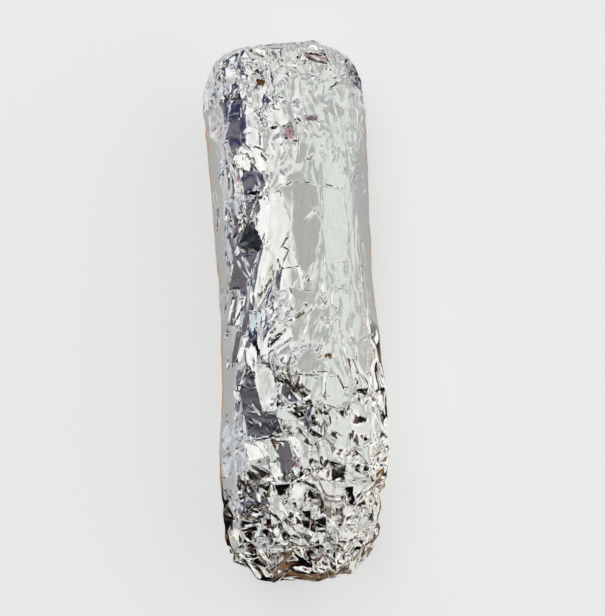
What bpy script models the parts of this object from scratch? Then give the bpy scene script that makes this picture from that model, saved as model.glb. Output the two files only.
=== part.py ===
"""A tortilla wrap rolled up in crumpled aluminium foil, lying on a table.

The roll lies along Y, its scrunched end at -Y and its folded end at +Y. +Z is up and z = 0 is the table.
Two pieces: the foil, a closed jacket with one small tear near its +Y end, and the tortilla roll that
fills the jacket and shows in the tear. Lengths are in metres.
"""

import math

import bmesh
import bpy
import numpy as np
from mathutils import Vector

# The roll's outline. Each station is a share of the length, from the scrunched end (0) to the folded
# end (1), with the half width, the sideways shift of the middle and the height there.
LENGTH = 0.203
STATIONS = (
    (0.00, 0.0272, -0.0024, 0.0440),
    (0.10, 0.0290, -0.0024, 0.0465),
    (0.20, 0.0314, -0.0004, 0.0480),
    (0.36, 0.0302, 0.0009, 0.0485),
    (0.52, 0.0292, 0.0004, 0.0480),
    (0.70, 0.0303, 0.0002, 0.0485),
    (0.86, 0.0317, 0.0000, 0.0485),
    (1.00, 0.0320, -0.0006, 0.0475),
)
WIDEST_LEVEL = 0.46  # height of the widest line, as a share of the height
SAG = 0.0022  # how far the soft underside is pressed flat against the table
TOP_EXPONENT = 2.25  # superellipse exponents: 2 is round, more is squarer
UNDERSIDE_EXPONENT = 2.7
SCRUNCHED_END_EXPONENT = 8.0
FOLDED_END_EXPONENT = 10.0

# The foil's layers. Each facet of the first mesh is split twice, and its corners are kicked in or out by
# up to this much at each step, most at the scrunched end and least in the taut middle. Most kicks are
# slight and a few are strong, so some facets stay large while others break up.
FOIL_THICKNESS = 0.0022  # crumpled layers and the air between them, over the tortilla
SCRUNCH_THICKNESS = 0.0026  # how much thicker the scrunched end is
UNDERSIDE_THICKNESS = 0.0010
THINNEST = 0.0008  # what the deepest valleys leave of the foil
FOIL_CELLS = (5, 16, 4)  # facets across, along and up, before they are split
KICKS = (0.0026, 0.0022, 0.0011)
KICK_POWER = 1.8  # above 1, so that slight kicks are commoner than strong ones
CREST_SHARE = 0.45  # how far the highest crests stand out, as a share of the deepest valleys
CORNER_WANDER = 0.30  # share of a facet by which its corners move sideways
TAUT = 0.14  # the least share of the kicks, in the taut middle
FOLDED_END_ROUGHNESS = 0.42  # the share of the kicks that the folded end has on top of that
SCRUNCH_TILT = 6.0  # share of the length by which each metre towards +X carries the crumples further up
SCRUNCH_HALF_WIDTH = 0.022  # the tilt stops this far from the middle
SEED = 23
# Where the facets lie along the roll: (share of the facets, share of the length), fine at the ends.
FACETS_ALONG = ((0.0, 0.0), (0.44, 0.33), (0.73, 0.77), (1.0, 1.0))
FACETS_UP = 0.24  # radians by which the facets crowd from the underside towards the top

# Long folds in the foil's upper side: both ends, (x, y), the half widths on the left and the right of the
# line from the first end to the second, and the height. A fold that is below 0 is a valley.
FOLDS = (
    ((-0.0150, 0.0760), (-0.0170, 0.0400), 0.0050, 0.0060, 0.0009),
    ((-0.0074, 0.0399), (0.0017, 0.0434), 0.0020, 0.0040, 0.0007),
    ((-0.0153, 0.0311), (-0.0114, 0.0201), 0.0045, 0.0040, 0.0006),
    ((-0.0114, 0.0201), (-0.0171, 0.0034), 0.0040, 0.0045, 0.0006),
    ((-0.0062, 0.0085), (-0.0146, -0.0039), 0.0018, 0.0022, -0.0008),
    ((-0.0191, -0.0191), (-0.0030, -0.0112), 0.0030, 0.0040, 0.0010),
    ((-0.0186, -0.0240), (-0.0234, -0.0318), 0.0040, 0.0030, 0.0010),
    ((-0.0125, -0.0275), (0.0080, -0.0250), 0.0030, 0.0045, 0.0014),
    ((-0.0085, -0.0300), (0.0006, -0.0403), 0.0030, 0.0024, -0.0020),
    ((-0.0147, -0.0408), (0.0067, -0.0399), 0.0030, 0.0030, 0.0014),
    ((-0.0028, -0.0444), (0.0089, -0.0561), 0.0028, 0.0030, -0.0022),
    ((-0.0210, -0.0470), (-0.0060, -0.0500), 0.0030, 0.0050, -0.0014),
    ((0.0200, -0.0130), (0.0240, -0.0330), 0.0030, 0.0030, -0.0010),
    ((0.0093, -0.0620), (0.0085, -0.0690), 0.0028, 0.0028, -0.0026),
    ((-0.0140, -0.0690), (0.0030, -0.0640), 0.0030, 0.0035, 0.0018),
    ((-0.0040, -0.0790), (0.0120, -0.0900), 0.0030, 0.0030, 0.0016),
    ((0.0035, 0.0741), (0.0031, 0.0660), 0.0022, 0.0022, -0.0009),
    ((-0.0081, 0.0819), (0.0025, 0.0638), 0.0022, 0.0030, 0.0008),
    ((-0.0146, 0.0955), (0.0182, 0.0925), 0.0030, 0.0030, 0.0010),
    ((0.0120, 0.0980), (0.0237, 0.0790), 0.0040, 0.0035, 0.0011),
)
LINE_SNAP = 0.0012  # corners this close to the line of a fold or a panel's edge move onto it
PANEL_EDGE = 0.0002  # corners this far outside a panel's outline still count as on it

# Panels, where the foil is pulled or pressed flat between creases: the corners, (x, y), in order round a
# convex outline, how many degrees it leans towards +X and +Y, and how deep its middle lies under the roll's
# smooth form.
PANELS = (
    # High up the -X side, from the folded end to the middle.
    (((-0.0210, 0.0765), (-0.0156, 0.0751), (-0.0166, 0.0574), (-0.0230, 0.0600)), -31, 3, 0.0002),
    (
        ((-0.0189, 0.0493), (-0.0130, 0.0469), (-0.0089, 0.0397), (-0.0150, 0.0368), (-0.0183, 0.0391)),
        -31, 2, 0.0005,
    ),
    (
        ((-0.0153, 0.0311), (-0.0114, 0.0201), (-0.0171, 0.0034), (-0.0238, 0.0060), (-0.0217, 0.0174)),
        -30, 0, 0.0004,
    ),
    # The large smooth patch of the -X side, bent along its middle.
    (((-0.0209, -0.0261), (-0.0155, -0.0286), (-0.0140, -0.0405), (-0.0222, -0.0400)), -30, -2, 0.0003),
    (
        (
            (-0.0222, -0.0400), (-0.0140, -0.0405), (-0.0075, -0.0448),
            (-0.0078, -0.0501), (-0.0153, -0.0508), (-0.0219, -0.0455),
        ),
        -27, -3, 0.0007,
    ),
    # The flap beside it, and the hollow that the flap stands over.
    (((-0.0083, -0.0281), (0.0080, -0.0306), (0.0071, -0.0396), (0.0010, -0.0404)), 13, -2, -0.0009),
    (((-0.0092, -0.0324), (-0.0043, -0.0335), (0.0006, -0.0403), (-0.0061, -0.0399)), -20, -17, 0.0008),
    # A raised patch and the slope beside it.
    (
        ((-0.0215, -0.0528), (-0.0125, -0.0533), (-0.0108, -0.0595), (-0.0126, -0.0663), (-0.0203, -0.0648)),
        -14, 3, -0.0004,
    ),
    (((-0.0107, -0.0577), (-0.0066, -0.0605), (-0.0031, -0.0671), (-0.0098, -0.0680)), -27, 0, 0.0008),
    # The two sides of the deepest pit.
    (((0.0016, -0.0652), (0.0080, -0.0629), (0.0081, -0.0676), (0.0014, -0.0677)), 6, -19, 0.0008),
    (((0.0081, -0.0627), (0.0133, -0.0643), (0.0122, -0.0705), (0.0083, -0.0697)), -6, -34, 0.0020),
)

# The tear in the foil, where the tortilla shows. The foil is pressed thin round it.
TEAR_PLACE = (-0.0087, 0.0816)
TEAR_RADIUS = 0.0016
TEAR_POINTS = 7
TEAR_DENT = (0.0010, 0.0050)  # the dent's depth and radius

# The tortilla roll.
CLEARANCE = 0.0003
ROLL_CELLS = (6, 20, 4)

FOIL_COLOUR = (0.84, 0.85, 0.86, 1.0)
TORTILLA_COLOUR = (0.62, 0.36, 0.15, 1.0)


def smooth_curve(at, places, values):
    """A smooth curve through (places, values), read at the shares given (a cubic Hermite spline)."""
    places = np.asarray(places)
    values = np.asarray(values)
    slopes = np.gradient(values, places)
    left = np.clip(np.searchsorted(places, at) - 1, 0, len(places) - 2)
    step = places[left + 1] - places[left]
    t = (at - places[left]) / step
    return (
        (2 * t**3 - 3 * t**2 + 1) * values[left]
        + (t**3 - 2 * t**2 + t) * step * slopes[left]
        + (3 * t**2 - 2 * t**3) * values[left + 1]
        + (t**3 - t**2) * step * slopes[left + 1]
    )


def ease(value, low, high):
    """0 below low, 1 above high and smooth between them. low may be the larger."""
    t = np.clip((value - low) / (high - low), 0.0, 1.0)
    return t * t * (3 - 2 * t)


def roll_surface(cube):
    """Maps points of the surface of a cube from -1 to 1 to the smooth roll. Returns points and shares."""
    across, along, up = cube.T
    # Around the roll the angles are even; towards an end the section shrinks as a superellipse.
    angle = np.arctan2(np.tan(up * math.pi / 4), np.tan(across * math.pi / 4))
    angle += FACETS_UP * np.cos(angle)
    reach = np.maximum(np.abs(across), np.abs(up))
    exponent = np.where(along > 0, FOLDED_END_EXPONENT, SCRUNCHED_END_EXPONENT)
    size = (reach**exponent + np.abs(along) ** exponent) ** (1 / exponent)
    shrink = reach / size
    share = 0.5 + 0.5 * along / size

    places, widths, shifts, heights = zip(*STATIONS)
    half_width = smooth_curve(share, places, widths)
    shift = smooth_curve(share, places, shifts)
    height = smooth_curve(share, places, heights)
    level = WIDEST_LEVEL * height
    is_top = np.sin(angle) > 0
    half_height = np.where(is_top, height - level, level + SAG)
    bend = np.where(is_top, TOP_EXPONENT, UNDERSIDE_EXPONENT)
    radius = (
        (np.abs(np.cos(angle)) / half_width) ** bend + (np.abs(np.sin(angle)) / half_height) ** bend
    ) ** (-1 / bend)
    points = np.column_stack(
        (
            shift + shrink * radius * np.cos(angle),
            (share - 0.5) * LENGTH,
            level + shrink * radius * np.sin(angle),
        )
    )
    return points, share


def foil_thickness(share):
    """The foil's thickness along the roll, inside the smooth outer form."""
    return FOIL_THICKNESS + SCRUNCH_THICKNESS * ease(share, 0.32, 0.06)


def crumpled(points, share):
    """How crumpled the foil is: 1 at the scrunched end and up its +X side, TAUT in the middle."""
    shifted = share - SCRUNCH_TILT * np.clip(points[:, 0], -SCRUNCH_HALF_WIDTH, SCRUNCH_HALF_WIDTH)
    scrunched = np.maximum(ease(shifted, 0.34, 0.20), ease(share, 0.10, 0.03))
    return TAUT + (1 - TAUT) * np.minimum(scrunched + FOLDED_END_ROUGHNESS * ease(share, 0.74, 0.92), 1.0)


def kicks(count, rng):
    """How far corners are kicked, from -1 to CREST_SHARE, mostly near 0."""
    kick = rng.uniform(-1, 1, count)
    return np.where(kick > 0, CREST_SHARE, -1.0) * np.abs(kick) ** KICK_POWER


def fold_height(points):
    """The long folds' height: each is a straight ridge or valley with flat flanks, faded at its ends."""
    height = np.zeros(len(points))
    flat = points[:, :2]
    for start, end, left_width, right_width, depth in FOLDS:
        nearest, side = beside(flat, start, end)
        half_width = np.where(side > 0, left_width, right_width)
        height += depth * np.clip(1.0 - np.linalg.norm(flat - nearest, axis=1) / half_width, 0.0, 1.0)
    return height * ease(points[:, 2], 0.018, 0.034)


def beside(flat, start, end):
    """The nearest places on a line from start to end, and which side of it the points lie on (> 0 left)."""
    start, end = np.array(start), np.array(end)
    run = end - start
    t = np.clip((flat - start) @ run / (run @ run), 0.0, 1.0)
    across = run[0] * (flat[:, 1] - start[1]) - run[1] * (flat[:, 0] - start[0])
    return start + t[:, None] * run, across


def snap_to_line(points, normals, start, end):
    """Moves corners of the upper side that are close to a line onto it, along the surface."""
    nearest, _ = beside(points[:, :2], start, end)
    move = nearest - points[:, :2]
    close = (np.linalg.norm(move, axis=1) < LINE_SNAP) & (normals[:, 2] > 0.4)
    drop = -np.sum(normals[:, :2] * move, axis=1) / np.maximum(normals[:, 2], 0.4)
    points[close] += np.column_stack((move, drop))[close]


def within(flat, outline):
    """Which points lie inside a convex outline."""
    run = np.roll(outline, -1, axis=0) - outline
    offset = flat[:, None] - outline
    across = run[:, 0] * offset[:, :, 1] - run[:, 1] * offset[:, :, 0]
    across /= np.linalg.norm(run, axis=1)
    return (across > -PANEL_EDGE).all(axis=1) | (across < PANEL_EDGE).all(axis=1)


def press_panels(points, form, normals):
    """Moves the corners inside each panel onto its plane, and those close to its outline onto the outline."""
    for outline, lean, pitch, depth in PANELS:
        outline = np.array(outline)
        for start, end in zip(outline, np.roll(outline, -1, axis=0)):
            snap_to_line(points, normals, start, end)
        middle = outline.mean(axis=0)
        away = np.linalg.norm(form[:, :2] - middle, axis=1) + LENGTH * (normals[:, 2] < 0)
        level = form[np.argmin(away), 2] - depth
        slopes = -np.tan(np.radians((lean, pitch)))
        inside = within(points[:, :2], outline) & (normals[:, 2] > 0)
        points[inside, 2] = level + (points[inside, :2] - middle) @ slopes


def cube_grid(cells):
    """A bmesh cube from -1 to 1 with its sides cut into cells = (across, along, up)."""
    bm = bmesh.new()
    bmesh.ops.create_cube(bm, size=2.0)
    for axis, count in enumerate(cells):
        edges = [e for e in bm.edges if abs((e.verts[1].co - e.verts[0].co)[axis]) > 1e-6]
        bmesh.ops.subdivide_edges(bm, edges=edges, cuts=count - 1, use_grid_fill=True)
    bmesh.ops.remove_doubles(bm, verts=bm.verts, dist=1e-5)
    return bm


def corners(bm):
    """The mesh's corners as an array."""
    return np.array([v.co for v in bm.verts])


def move_corners(bm, points):
    """Puts the mesh's corners at these points."""
    for vertex, point in zip(bm.verts, points):
        vertex.co = point


def wander(cube, cells, rng):
    """Moves corners about within their own side of the cube, so that no two facets match."""
    step = rng.uniform(-CORNER_WANDER, CORNER_WANDER, cube.shape) * 2.0 / np.array(cells)
    step[np.abs(cube) > 1.0 - 1e-6] = 0.0
    return cube + step


def split_facets(bm):
    """Splits every triangle in four. Returns, for each new corner, the two corners that it lies between."""
    old = len(bm.verts)
    bmesh.ops.subdivide_edges(bm, edges=bm.edges[:], cuts=1, use_grid_fill=True)
    bm.verts.index_update()
    bm.verts.ensure_lookup_table()
    return np.array(
        [[e.other_vert(v).index for e in v.link_edges if e.other_vert(v).index < old] for v in bm.verts[old:]]
    )


def form_normals(bm, cube):
    """The smooth roll's normals at the mesh's corners."""
    points, share = roll_surface(cube)
    move_corners(bm, points)
    bm.normal_update()
    return points, np.array([v.normal for v in bm.verts]), share


def crumpled_skin():
    """The foil's outer surface: facets split twice, with folds and panels, pressed down on the table."""
    rng = np.random.default_rng(SEED)
    bm = cube_grid(FOIL_CELLS)
    cube = corners(bm)
    cube[:, 1] = np.interp((cube[:, 1] + 1) / 2, *zip(*FACETS_ALONG)) * 2 - 1
    cube = wander(cube, FOIL_CELLS, rng)
    move_corners(bm, roll_surface(cube)[0])
    bmesh.ops.triangulate(bm, faces=bm.faces, quad_method="SHORT_EDGE")

    form, normals, share = form_normals(bm, cube)
    roughness = crumpled(form, share)
    offset = normals * (roughness * KICKS[0] * kicks(len(cube), rng))[:, None]
    for level, kick in enumerate(KICKS[1:], start=1):
        move_corners(bm, cube)
        first, second = split_facets(bm).T
        middle = (cube[first] + cube[second]) / 2
        old_form = form
        cube = np.vstack((cube, wander(middle, np.array(FOIL_CELLS) * 2**level, rng)))
        form, normals, share = form_normals(bm, cube)
        roughness = crumpled(form, share)
        fresh = slice(len(old_form), None)
        # A crumpled facet stays flat when it is split, and a taut one follows the roll.
        chord = (old_form[first] + old_form[second]) / 2 - roll_surface(middle)[0]
        lift = (offset[first] + offset[second]) / 2 + roughness[fresh, None] * chord
        lift += normals[fresh] * (roughness[fresh] * kick * kicks(len(first), rng))[:, None]
        offset = np.vstack((offset, lift))
    points = form + offset

    for start, end, *_ in FOLDS:
        snap_to_line(points, normals, start, end)
    points += normals * fold_height(points)[:, None]
    press_panels(points, form, normals)
    from_tear = np.hypot(form[:, 0] - TEAR_PLACE[0], form[:, 1] - TEAR_PLACE[1])
    depth, radius = TEAR_DENT
    points -= normals * (depth * ease(from_tear, radius, 0.0) * (normals[:, 2] > 0))[:, None]
    # The foil keeps at least its thinnest over the tortilla.
    proud = np.sum((points - form) * normals, axis=1)
    points += normals * np.maximum(THINNEST - foil_thickness(share) - proud, 0.0)[:, None]
    points[:, 2] = np.maximum(points[:, 2], 0.0)
    move_corners(bm, points)
    bmesh.ops.recalc_face_normals(bm, faces=bm.faces)
    return bm


def inner_form(gap):
    """The smooth form inside the foil, smaller by the gap all round."""
    bm = cube_grid(ROLL_CELLS)
    points, normals, share = form_normals(bm, corners(bm))
    points -= normals * (foil_thickness(share) + gap)[:, None]
    points[:, 2] = np.maximum(points[:, 2], UNDERSIDE_THICKNESS + gap)
    move_corners(bm, points)
    bmesh.ops.triangulate(bm, faces=bm.faces)
    bmesh.ops.recalc_face_normals(bm, faces=bm.faces)
    return bm


def new_collection(name):
    """A new collection in the scene."""
    collection = bpy.data.collections.new(name)
    bpy.context.scene.collection.children.link(collection)
    return collection


def add_object(name, bm, collection):
    """Turns a bmesh into a named object in the collection."""
    mesh = bpy.data.meshes.new(name)
    bm.to_mesh(mesh)
    bm.free()
    piece = bpy.data.objects.new(name, mesh)
    collection.objects.link(piece)
    return piece


def make_cutter(name, bm, collection):
    """A cutter, which is shown as wire and left out of renders."""
    cutter = add_object(name, bm, collection)
    cutter.hide_render = True
    cutter.display_type = "WIRE"
    return cutter


def cut(piece, cutter):
    """Takes the cutter's shape out of the piece."""
    modifier = piece.modifiers.new(cutter.name, "BOOLEAN")
    modifier.operation = "DIFFERENCE"
    modifier.solver = "EXACT"
    modifier.object = cutter


def tear_shape():
    """A short ragged plug across the foil's top layer, for the tear."""
    bm = bmesh.new()
    bmesh.ops.create_cone(
        bm, cap_ends=True, segments=2 * TEAR_POINTS, radius1=TEAR_RADIUS, radius2=TEAR_RADIUS, depth=0.016
    )
    for vertex in bm.verts:
        point = round(math.atan2(vertex.co.y, vertex.co.x) / math.pi * TEAR_POINTS)
        vertex.co.xy *= 1.25 if point % 2 else 0.8
    height = STATIONS[-2][3]
    bmesh.ops.translate(bm, verts=bm.verts, vec=Vector((*TEAR_PLACE, height)))
    return bm


def metal_or_food(name, colour, roughness, metallic):
    """A Principled BSDF material."""
    material = bpy.data.materials.new(name)
    material.use_nodes = True
    shader = material.node_tree.nodes["Principled BSDF"]
    shader.inputs["Base Color"].default_value = colour
    shader.inputs["Roughness"].default_value = roughness
    shader.inputs["Metallic"].default_value = metallic
    return material


def centre_on_footprint(pieces, outer):
    """Moves all the pieces so that the outer one's footprint is centred on the origin."""
    outline = np.array([v.co for v in outer.data.vertices])
    middle = (outline.min(axis=0) + outline.max(axis=0)) / 2
    for piece in pieces:
        for vertex in piece.data.vertices:
            vertex.co.x -= middle[0]
            vertex.co.y -= middle[1]


def build():
    """Builds the foil and the tortilla roll."""
    for old in list(bpy.data.objects):
        bpy.data.objects.remove(old, do_unlink=True)
    parts = new_collection("foil_wrapped_tortilla")
    cutters = new_collection("cutters")

    foil = add_object("foil_wrap", crumpled_skin(), parts)
    hollow = make_cutter("hollow_cutter", inner_form(0.0), cutters)
    tear = make_cutter("tear_cutter", tear_shape(), cutters)
    cut(foil, hollow)
    cut(foil, tear)
    foil.data.materials.append(metal_or_food("aluminium_foil", FOIL_COLOUR, 0.2, 1.0))

    roll = add_object("tortilla_roll", inner_form(CLEARANCE), parts)
    roll.data.materials.append(metal_or_food("tortilla", TORTILLA_COLOUR, 0.7, 0.0))
    centre_on_footprint((foil, hollow, tear, roll), foil)


build()
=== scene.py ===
"""A tortilla wrap in crumpled aluminium foil: its looks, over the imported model.

The wrap lies along Y on a pale floor at z = 0, its scrunched end at -Y and its folded end at +Y. The foil
starts as a copy of its solid and gets its fine creases here. Lengths are in metres unless a name or its
comment says mm.
"""

import logging
import math
from dataclasses import dataclass
from enum import Enum
from itertools import combinations

import bmesh
import bpy
import numpy as np
from mathutils import Matrix, Vector
from mathutils.bvhtree import BVHTree


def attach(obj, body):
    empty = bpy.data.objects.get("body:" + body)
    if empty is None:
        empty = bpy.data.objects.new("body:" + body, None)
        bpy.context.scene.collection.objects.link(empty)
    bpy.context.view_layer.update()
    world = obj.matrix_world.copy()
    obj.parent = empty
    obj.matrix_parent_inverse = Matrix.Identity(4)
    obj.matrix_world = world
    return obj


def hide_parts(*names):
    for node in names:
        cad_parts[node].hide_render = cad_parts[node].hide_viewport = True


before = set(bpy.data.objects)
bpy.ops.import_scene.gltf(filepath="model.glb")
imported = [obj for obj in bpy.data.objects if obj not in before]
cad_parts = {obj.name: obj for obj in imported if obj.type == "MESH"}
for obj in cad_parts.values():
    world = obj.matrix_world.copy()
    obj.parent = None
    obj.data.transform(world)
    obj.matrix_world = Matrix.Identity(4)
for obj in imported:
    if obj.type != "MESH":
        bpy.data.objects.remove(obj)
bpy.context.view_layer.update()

MM = 0.001
FOIL_SHARE = 0.87  # how much of what it mirrors the foil gives back
LOG = logging.getLogger("wrap")


def linear(hex_colour: str) -> tuple[float, float, float, float]:
    """Turns an sRGB colour such as "#E6E6E6" into linear RGBA.

    Args:
        hex_colour: The colour as "#RRGGBB".

    Returns:
        The linear colour, with alpha 1.
    """
    shares = [int(hex_colour[i : i + 2], 16) / 255 for i in (1, 3, 5)]
    red, green, blue = [s / 12.92 if s <= 0.04045 else ((s + 0.055) / 1.055) ** 2.4 for s in shares]
    return red, green, blue, 1.0


def add_node(
    tree: bpy.types.NodeTree,
    kind: str,
    settings: dict | None = None,
    stops: tuple[tuple[float, str], ...] = (),
    **inputs: object,
) -> bpy.types.Node:
    """Adds a node with its settings, and sets or links its inputs.

    Args:
        tree: The node tree that it goes in.
        kind: The node's type, such as "ShaderNodeMath".
        settings: Properties of the node, by name.
        stops: The places and colours of a colour ramp.
        inputs: A value, or a socket to link from, for each input, by its name in lower case with _ for a
            space. in0, in1 and so on name an input by its number.

    Returns:
        The node.
    """
    node = tree.nodes.new(kind)
    for name, value in (settings or {}).items():
        setattr(node, name, value)
    for name, value in inputs.items():
        if name[:2] == "in" and name[2:].isdigit():
            socket = node.inputs[int(name[2:])]
        else:
            socket = next(s for s in node.inputs if s.name.lower().replace(" ", "_") == name and s.enabled)
        if isinstance(value, bpy.types.NodeSocket):
            tree.links.new(value, socket)
        else:
            socket.default_value = value
    for number, (place, colour) in enumerate(stops):
        points = node.color_ramp.elements
        point = points[number] if number < 2 else points.new(place)
        point.position = place
        point.color = linear(colour)
    return node


def ease(value: np.ndarray, low: float, high: float) -> np.ndarray:
    """Steps smoothly from 0 to 1.

    Args:
        value: Where to read the step.
        low: The value at which the step starts. It may be more than high.
        high: The value at which the step ends.

    Returns:
        0 before low, 1 past high and a smooth blend between them.
    """
    t = np.clip((value - low) / (high - low), 0.0, 1.0)
    return t * t * (3 - 2 * t)


def new_material(name: str) -> tuple[bpy.types.Material, bpy.types.NodeTree, bpy.types.Node]:
    """Starts a material.

    Args:
        name: The material's name.

    Returns:
        The material, its node tree and its Principled BSDF.
    """
    material = bpy.data.materials.new(name)
    material.use_nodes = True
    tree = material.node_tree
    return material, tree, tree.nodes["Principled BSDF"]


@dataclass(frozen=True)
class RolledFoil:
    """Household aluminium foil, cold rolled to about 0.02 mm, its bright side out.

    The polished rolls leave it nearly a mirror, so the eye sees its surroundings broken up by every crease.
    Where it has been pressed and rubbed it turns a little duller. The geometry holds the folds and facets,
    and the bumps here the creases between them that are finer than its mesh. They are drawn coarser than the
    real ones, which lie a millimetre or two apart, so that they show.
    """

    colour: str = "#F0F0EF"
    roughness: float = 0.07
    rubbed_roughness: float = 0.16
    rub_mm: float = 14.0  # about the width of the rubbed patches
    rub_starts: float = 0.35  # of the noise's 0 to 1
    rub_full: float = 0.7
    crease_mm: tuple[float, float, float] = (4.0, 9.0, 4.0)  # spacing of the long creases along X, Y and Z
    crease_width: float = 0.16  # as a share of the spacing
    crease_slope: float = 0.02
    crease_heading: float = 14.0  # degrees from +Y
    fine_spacing: float = 0.45  # of the second set of creases, as a share of the first's
    fine_turn: float = 35.0  # degrees between the two sets
    fine_shift: float = 7.0  # how many spacings apart the two sets start
    stir_mm: float = 6.0  # how soon a crease bends
    stir_share: float = 0.9  # how far it bends, in spacings
    crumpled_share: float = 0.15  # what is left of these creases where the mesh has enough of its own
    crumpled_from: float = 0.8
    ripple_mm: float = 5.0  # the foil's soft waves between creases
    ripple_slope: float = 0.025

    def build(self) -> bpy.types.Material:
        """Makes the material.

        Returns:
            The foil's material.
        """
        material, tree, shader = new_material("aluminium_foil_rolled")
        shader.inputs["Metallic"].default_value = 1.0
        shader.inputs["Base Color"].default_value = linear(self.colour)
        place = add_node(tree, "ShaderNodeTexCoord").outputs["Object"]
        crumple = add_node(tree, "ShaderNodeAttribute", {"attribute_name": "crumple"}).outputs["Fac"]
        calm = add_node(
            tree, "ShaderNodeMapRange", value=crumple,
            from_max=self.crumpled_from, to_min=1.0, to_max=self.crumpled_share,
        ).outputs["Result"]
        rub = add_node(
            tree, "ShaderNodeTexNoise", vector=place, scale=1 / (self.rub_mm * MM), detail=3.0, roughness=0.6
        )
        gloss = add_node(
            tree, "ShaderNodeMapRange", value=rub.outputs["Fac"], from_min=self.rub_starts,
            from_max=self.rub_full, to_min=self.roughness, to_max=self.rubbed_roughness,
        )
        tree.links.new(gloss.outputs["Result"], shader.inputs["Roughness"])

        ripples = add_node(
            tree, "ShaderNodeTexNoise", vector=place,
            scale=1 / (self.ripple_mm * MM), detail=2.0, roughness=0.5,
        )
        bump = add_node(
            tree, "ShaderNodeBump", height=ripples.outputs["Fac"],
            distance=self.ripple_slope * self.ripple_mm * MM,
        )
        stir = add_node(tree, "ShaderNodeTexNoise", vector=place, scale=1 / (self.stir_mm * MM), detail=2.0)
        for spacing, shift, turn in ((1.0, 0.0, 0.0), (self.fine_spacing, self.fine_shift, self.fine_turn)):
            scale = tuple(1 / (mm * MM * spacing) for mm in self.crease_mm)
            spread = add_node(
                tree, "ShaderNodeMapping", vector=place, location=(shift, shift, shift),
                rotation=(0.0, 0.0, math.radians(self.crease_heading + turn)), scale=scale,
            ).outputs["Vector"]
            stirred = add_node(
                tree, "ShaderNodeVectorMath", {"operation": "MULTIPLY_ADD"},
                in0=stir.outputs["Color"], in1=(self.stir_share,) * 3, in2=spread,
            ).outputs["Vector"]
            edge = add_node(
                tree, "ShaderNodeTexVoronoi", {"feature": "DISTANCE_TO_EDGE"}, vector=stirred, scale=1.0
            ).outputs["Distance"]
            crease = add_node(
                tree, "ShaderNodeMath", {"operation": "MINIMUM"}, in0=edge, in1=self.crease_width
            ).outputs["Value"]
            bump = add_node(
                tree, "ShaderNodeBump", height=crease, strength=calm, normal=bump.outputs["Normal"],
                distance=self.crease_slope * self.crease_mm[0] * MM * spacing,
            )
        tree.links.new(bump.outputs["Normal"], shader.inputs["Normal"])
        return material


@dataclass(frozen=True)
class ToastedTortilla:
    """Wheat tortilla, baked on a hot plate: matt, pale brown, with darker scorched spots."""

    pale: str = "#B98A52"
    scorched: str = "#6B3F1B"
    roughness: float = 0.7
    spot_mm: float = 5.0

    def build(self) -> bpy.types.Material:
        """Makes the material.

        Returns:
            The tortilla's material.
        """
        material, tree, shader = new_material("wheat_tortilla_toasted")
        shader.inputs["Roughness"].default_value = self.roughness
        place = add_node(tree, "ShaderNodeTexCoord").outputs["Object"]
        spots = add_node(
            tree, "ShaderNodeTexNoise", vector=place, scale=1 / (self.spot_mm * MM), detail=4.0
        )
        colour = add_node(
            tree, "ShaderNodeMix", {"data_type": "RGBA"},
            factor=spots.outputs["Fac"], in6=linear(self.pale), in7=linear(self.scorched),
        )
        tree.links.new(colour.outputs[2], shader.inputs["Base Color"])
        return material


@dataclass(frozen=True)
class FloorPaper:
    """Matt pale background paper."""

    colour: str = "#E6E6E6"
    roughness: float = 0.9
    glow: float = 0.45  # light that the paper lets through from below

    def build(self) -> bpy.types.Material:
        """Makes the material.

        Returns:
            The floor's material.
        """
        material, _, shader = new_material("background_paper")
        shader.inputs["Base Color"].default_value = linear(self.colour)
        shader.inputs["Roughness"].default_value = self.roughness
        shader.inputs["Specular IOR Level"].default_value = 0.0
        shader.inputs["Emission Color"].default_value = linear("#FFFFFF")
        shader.inputs["Emission Strength"].default_value = self.glow
        return material


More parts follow.
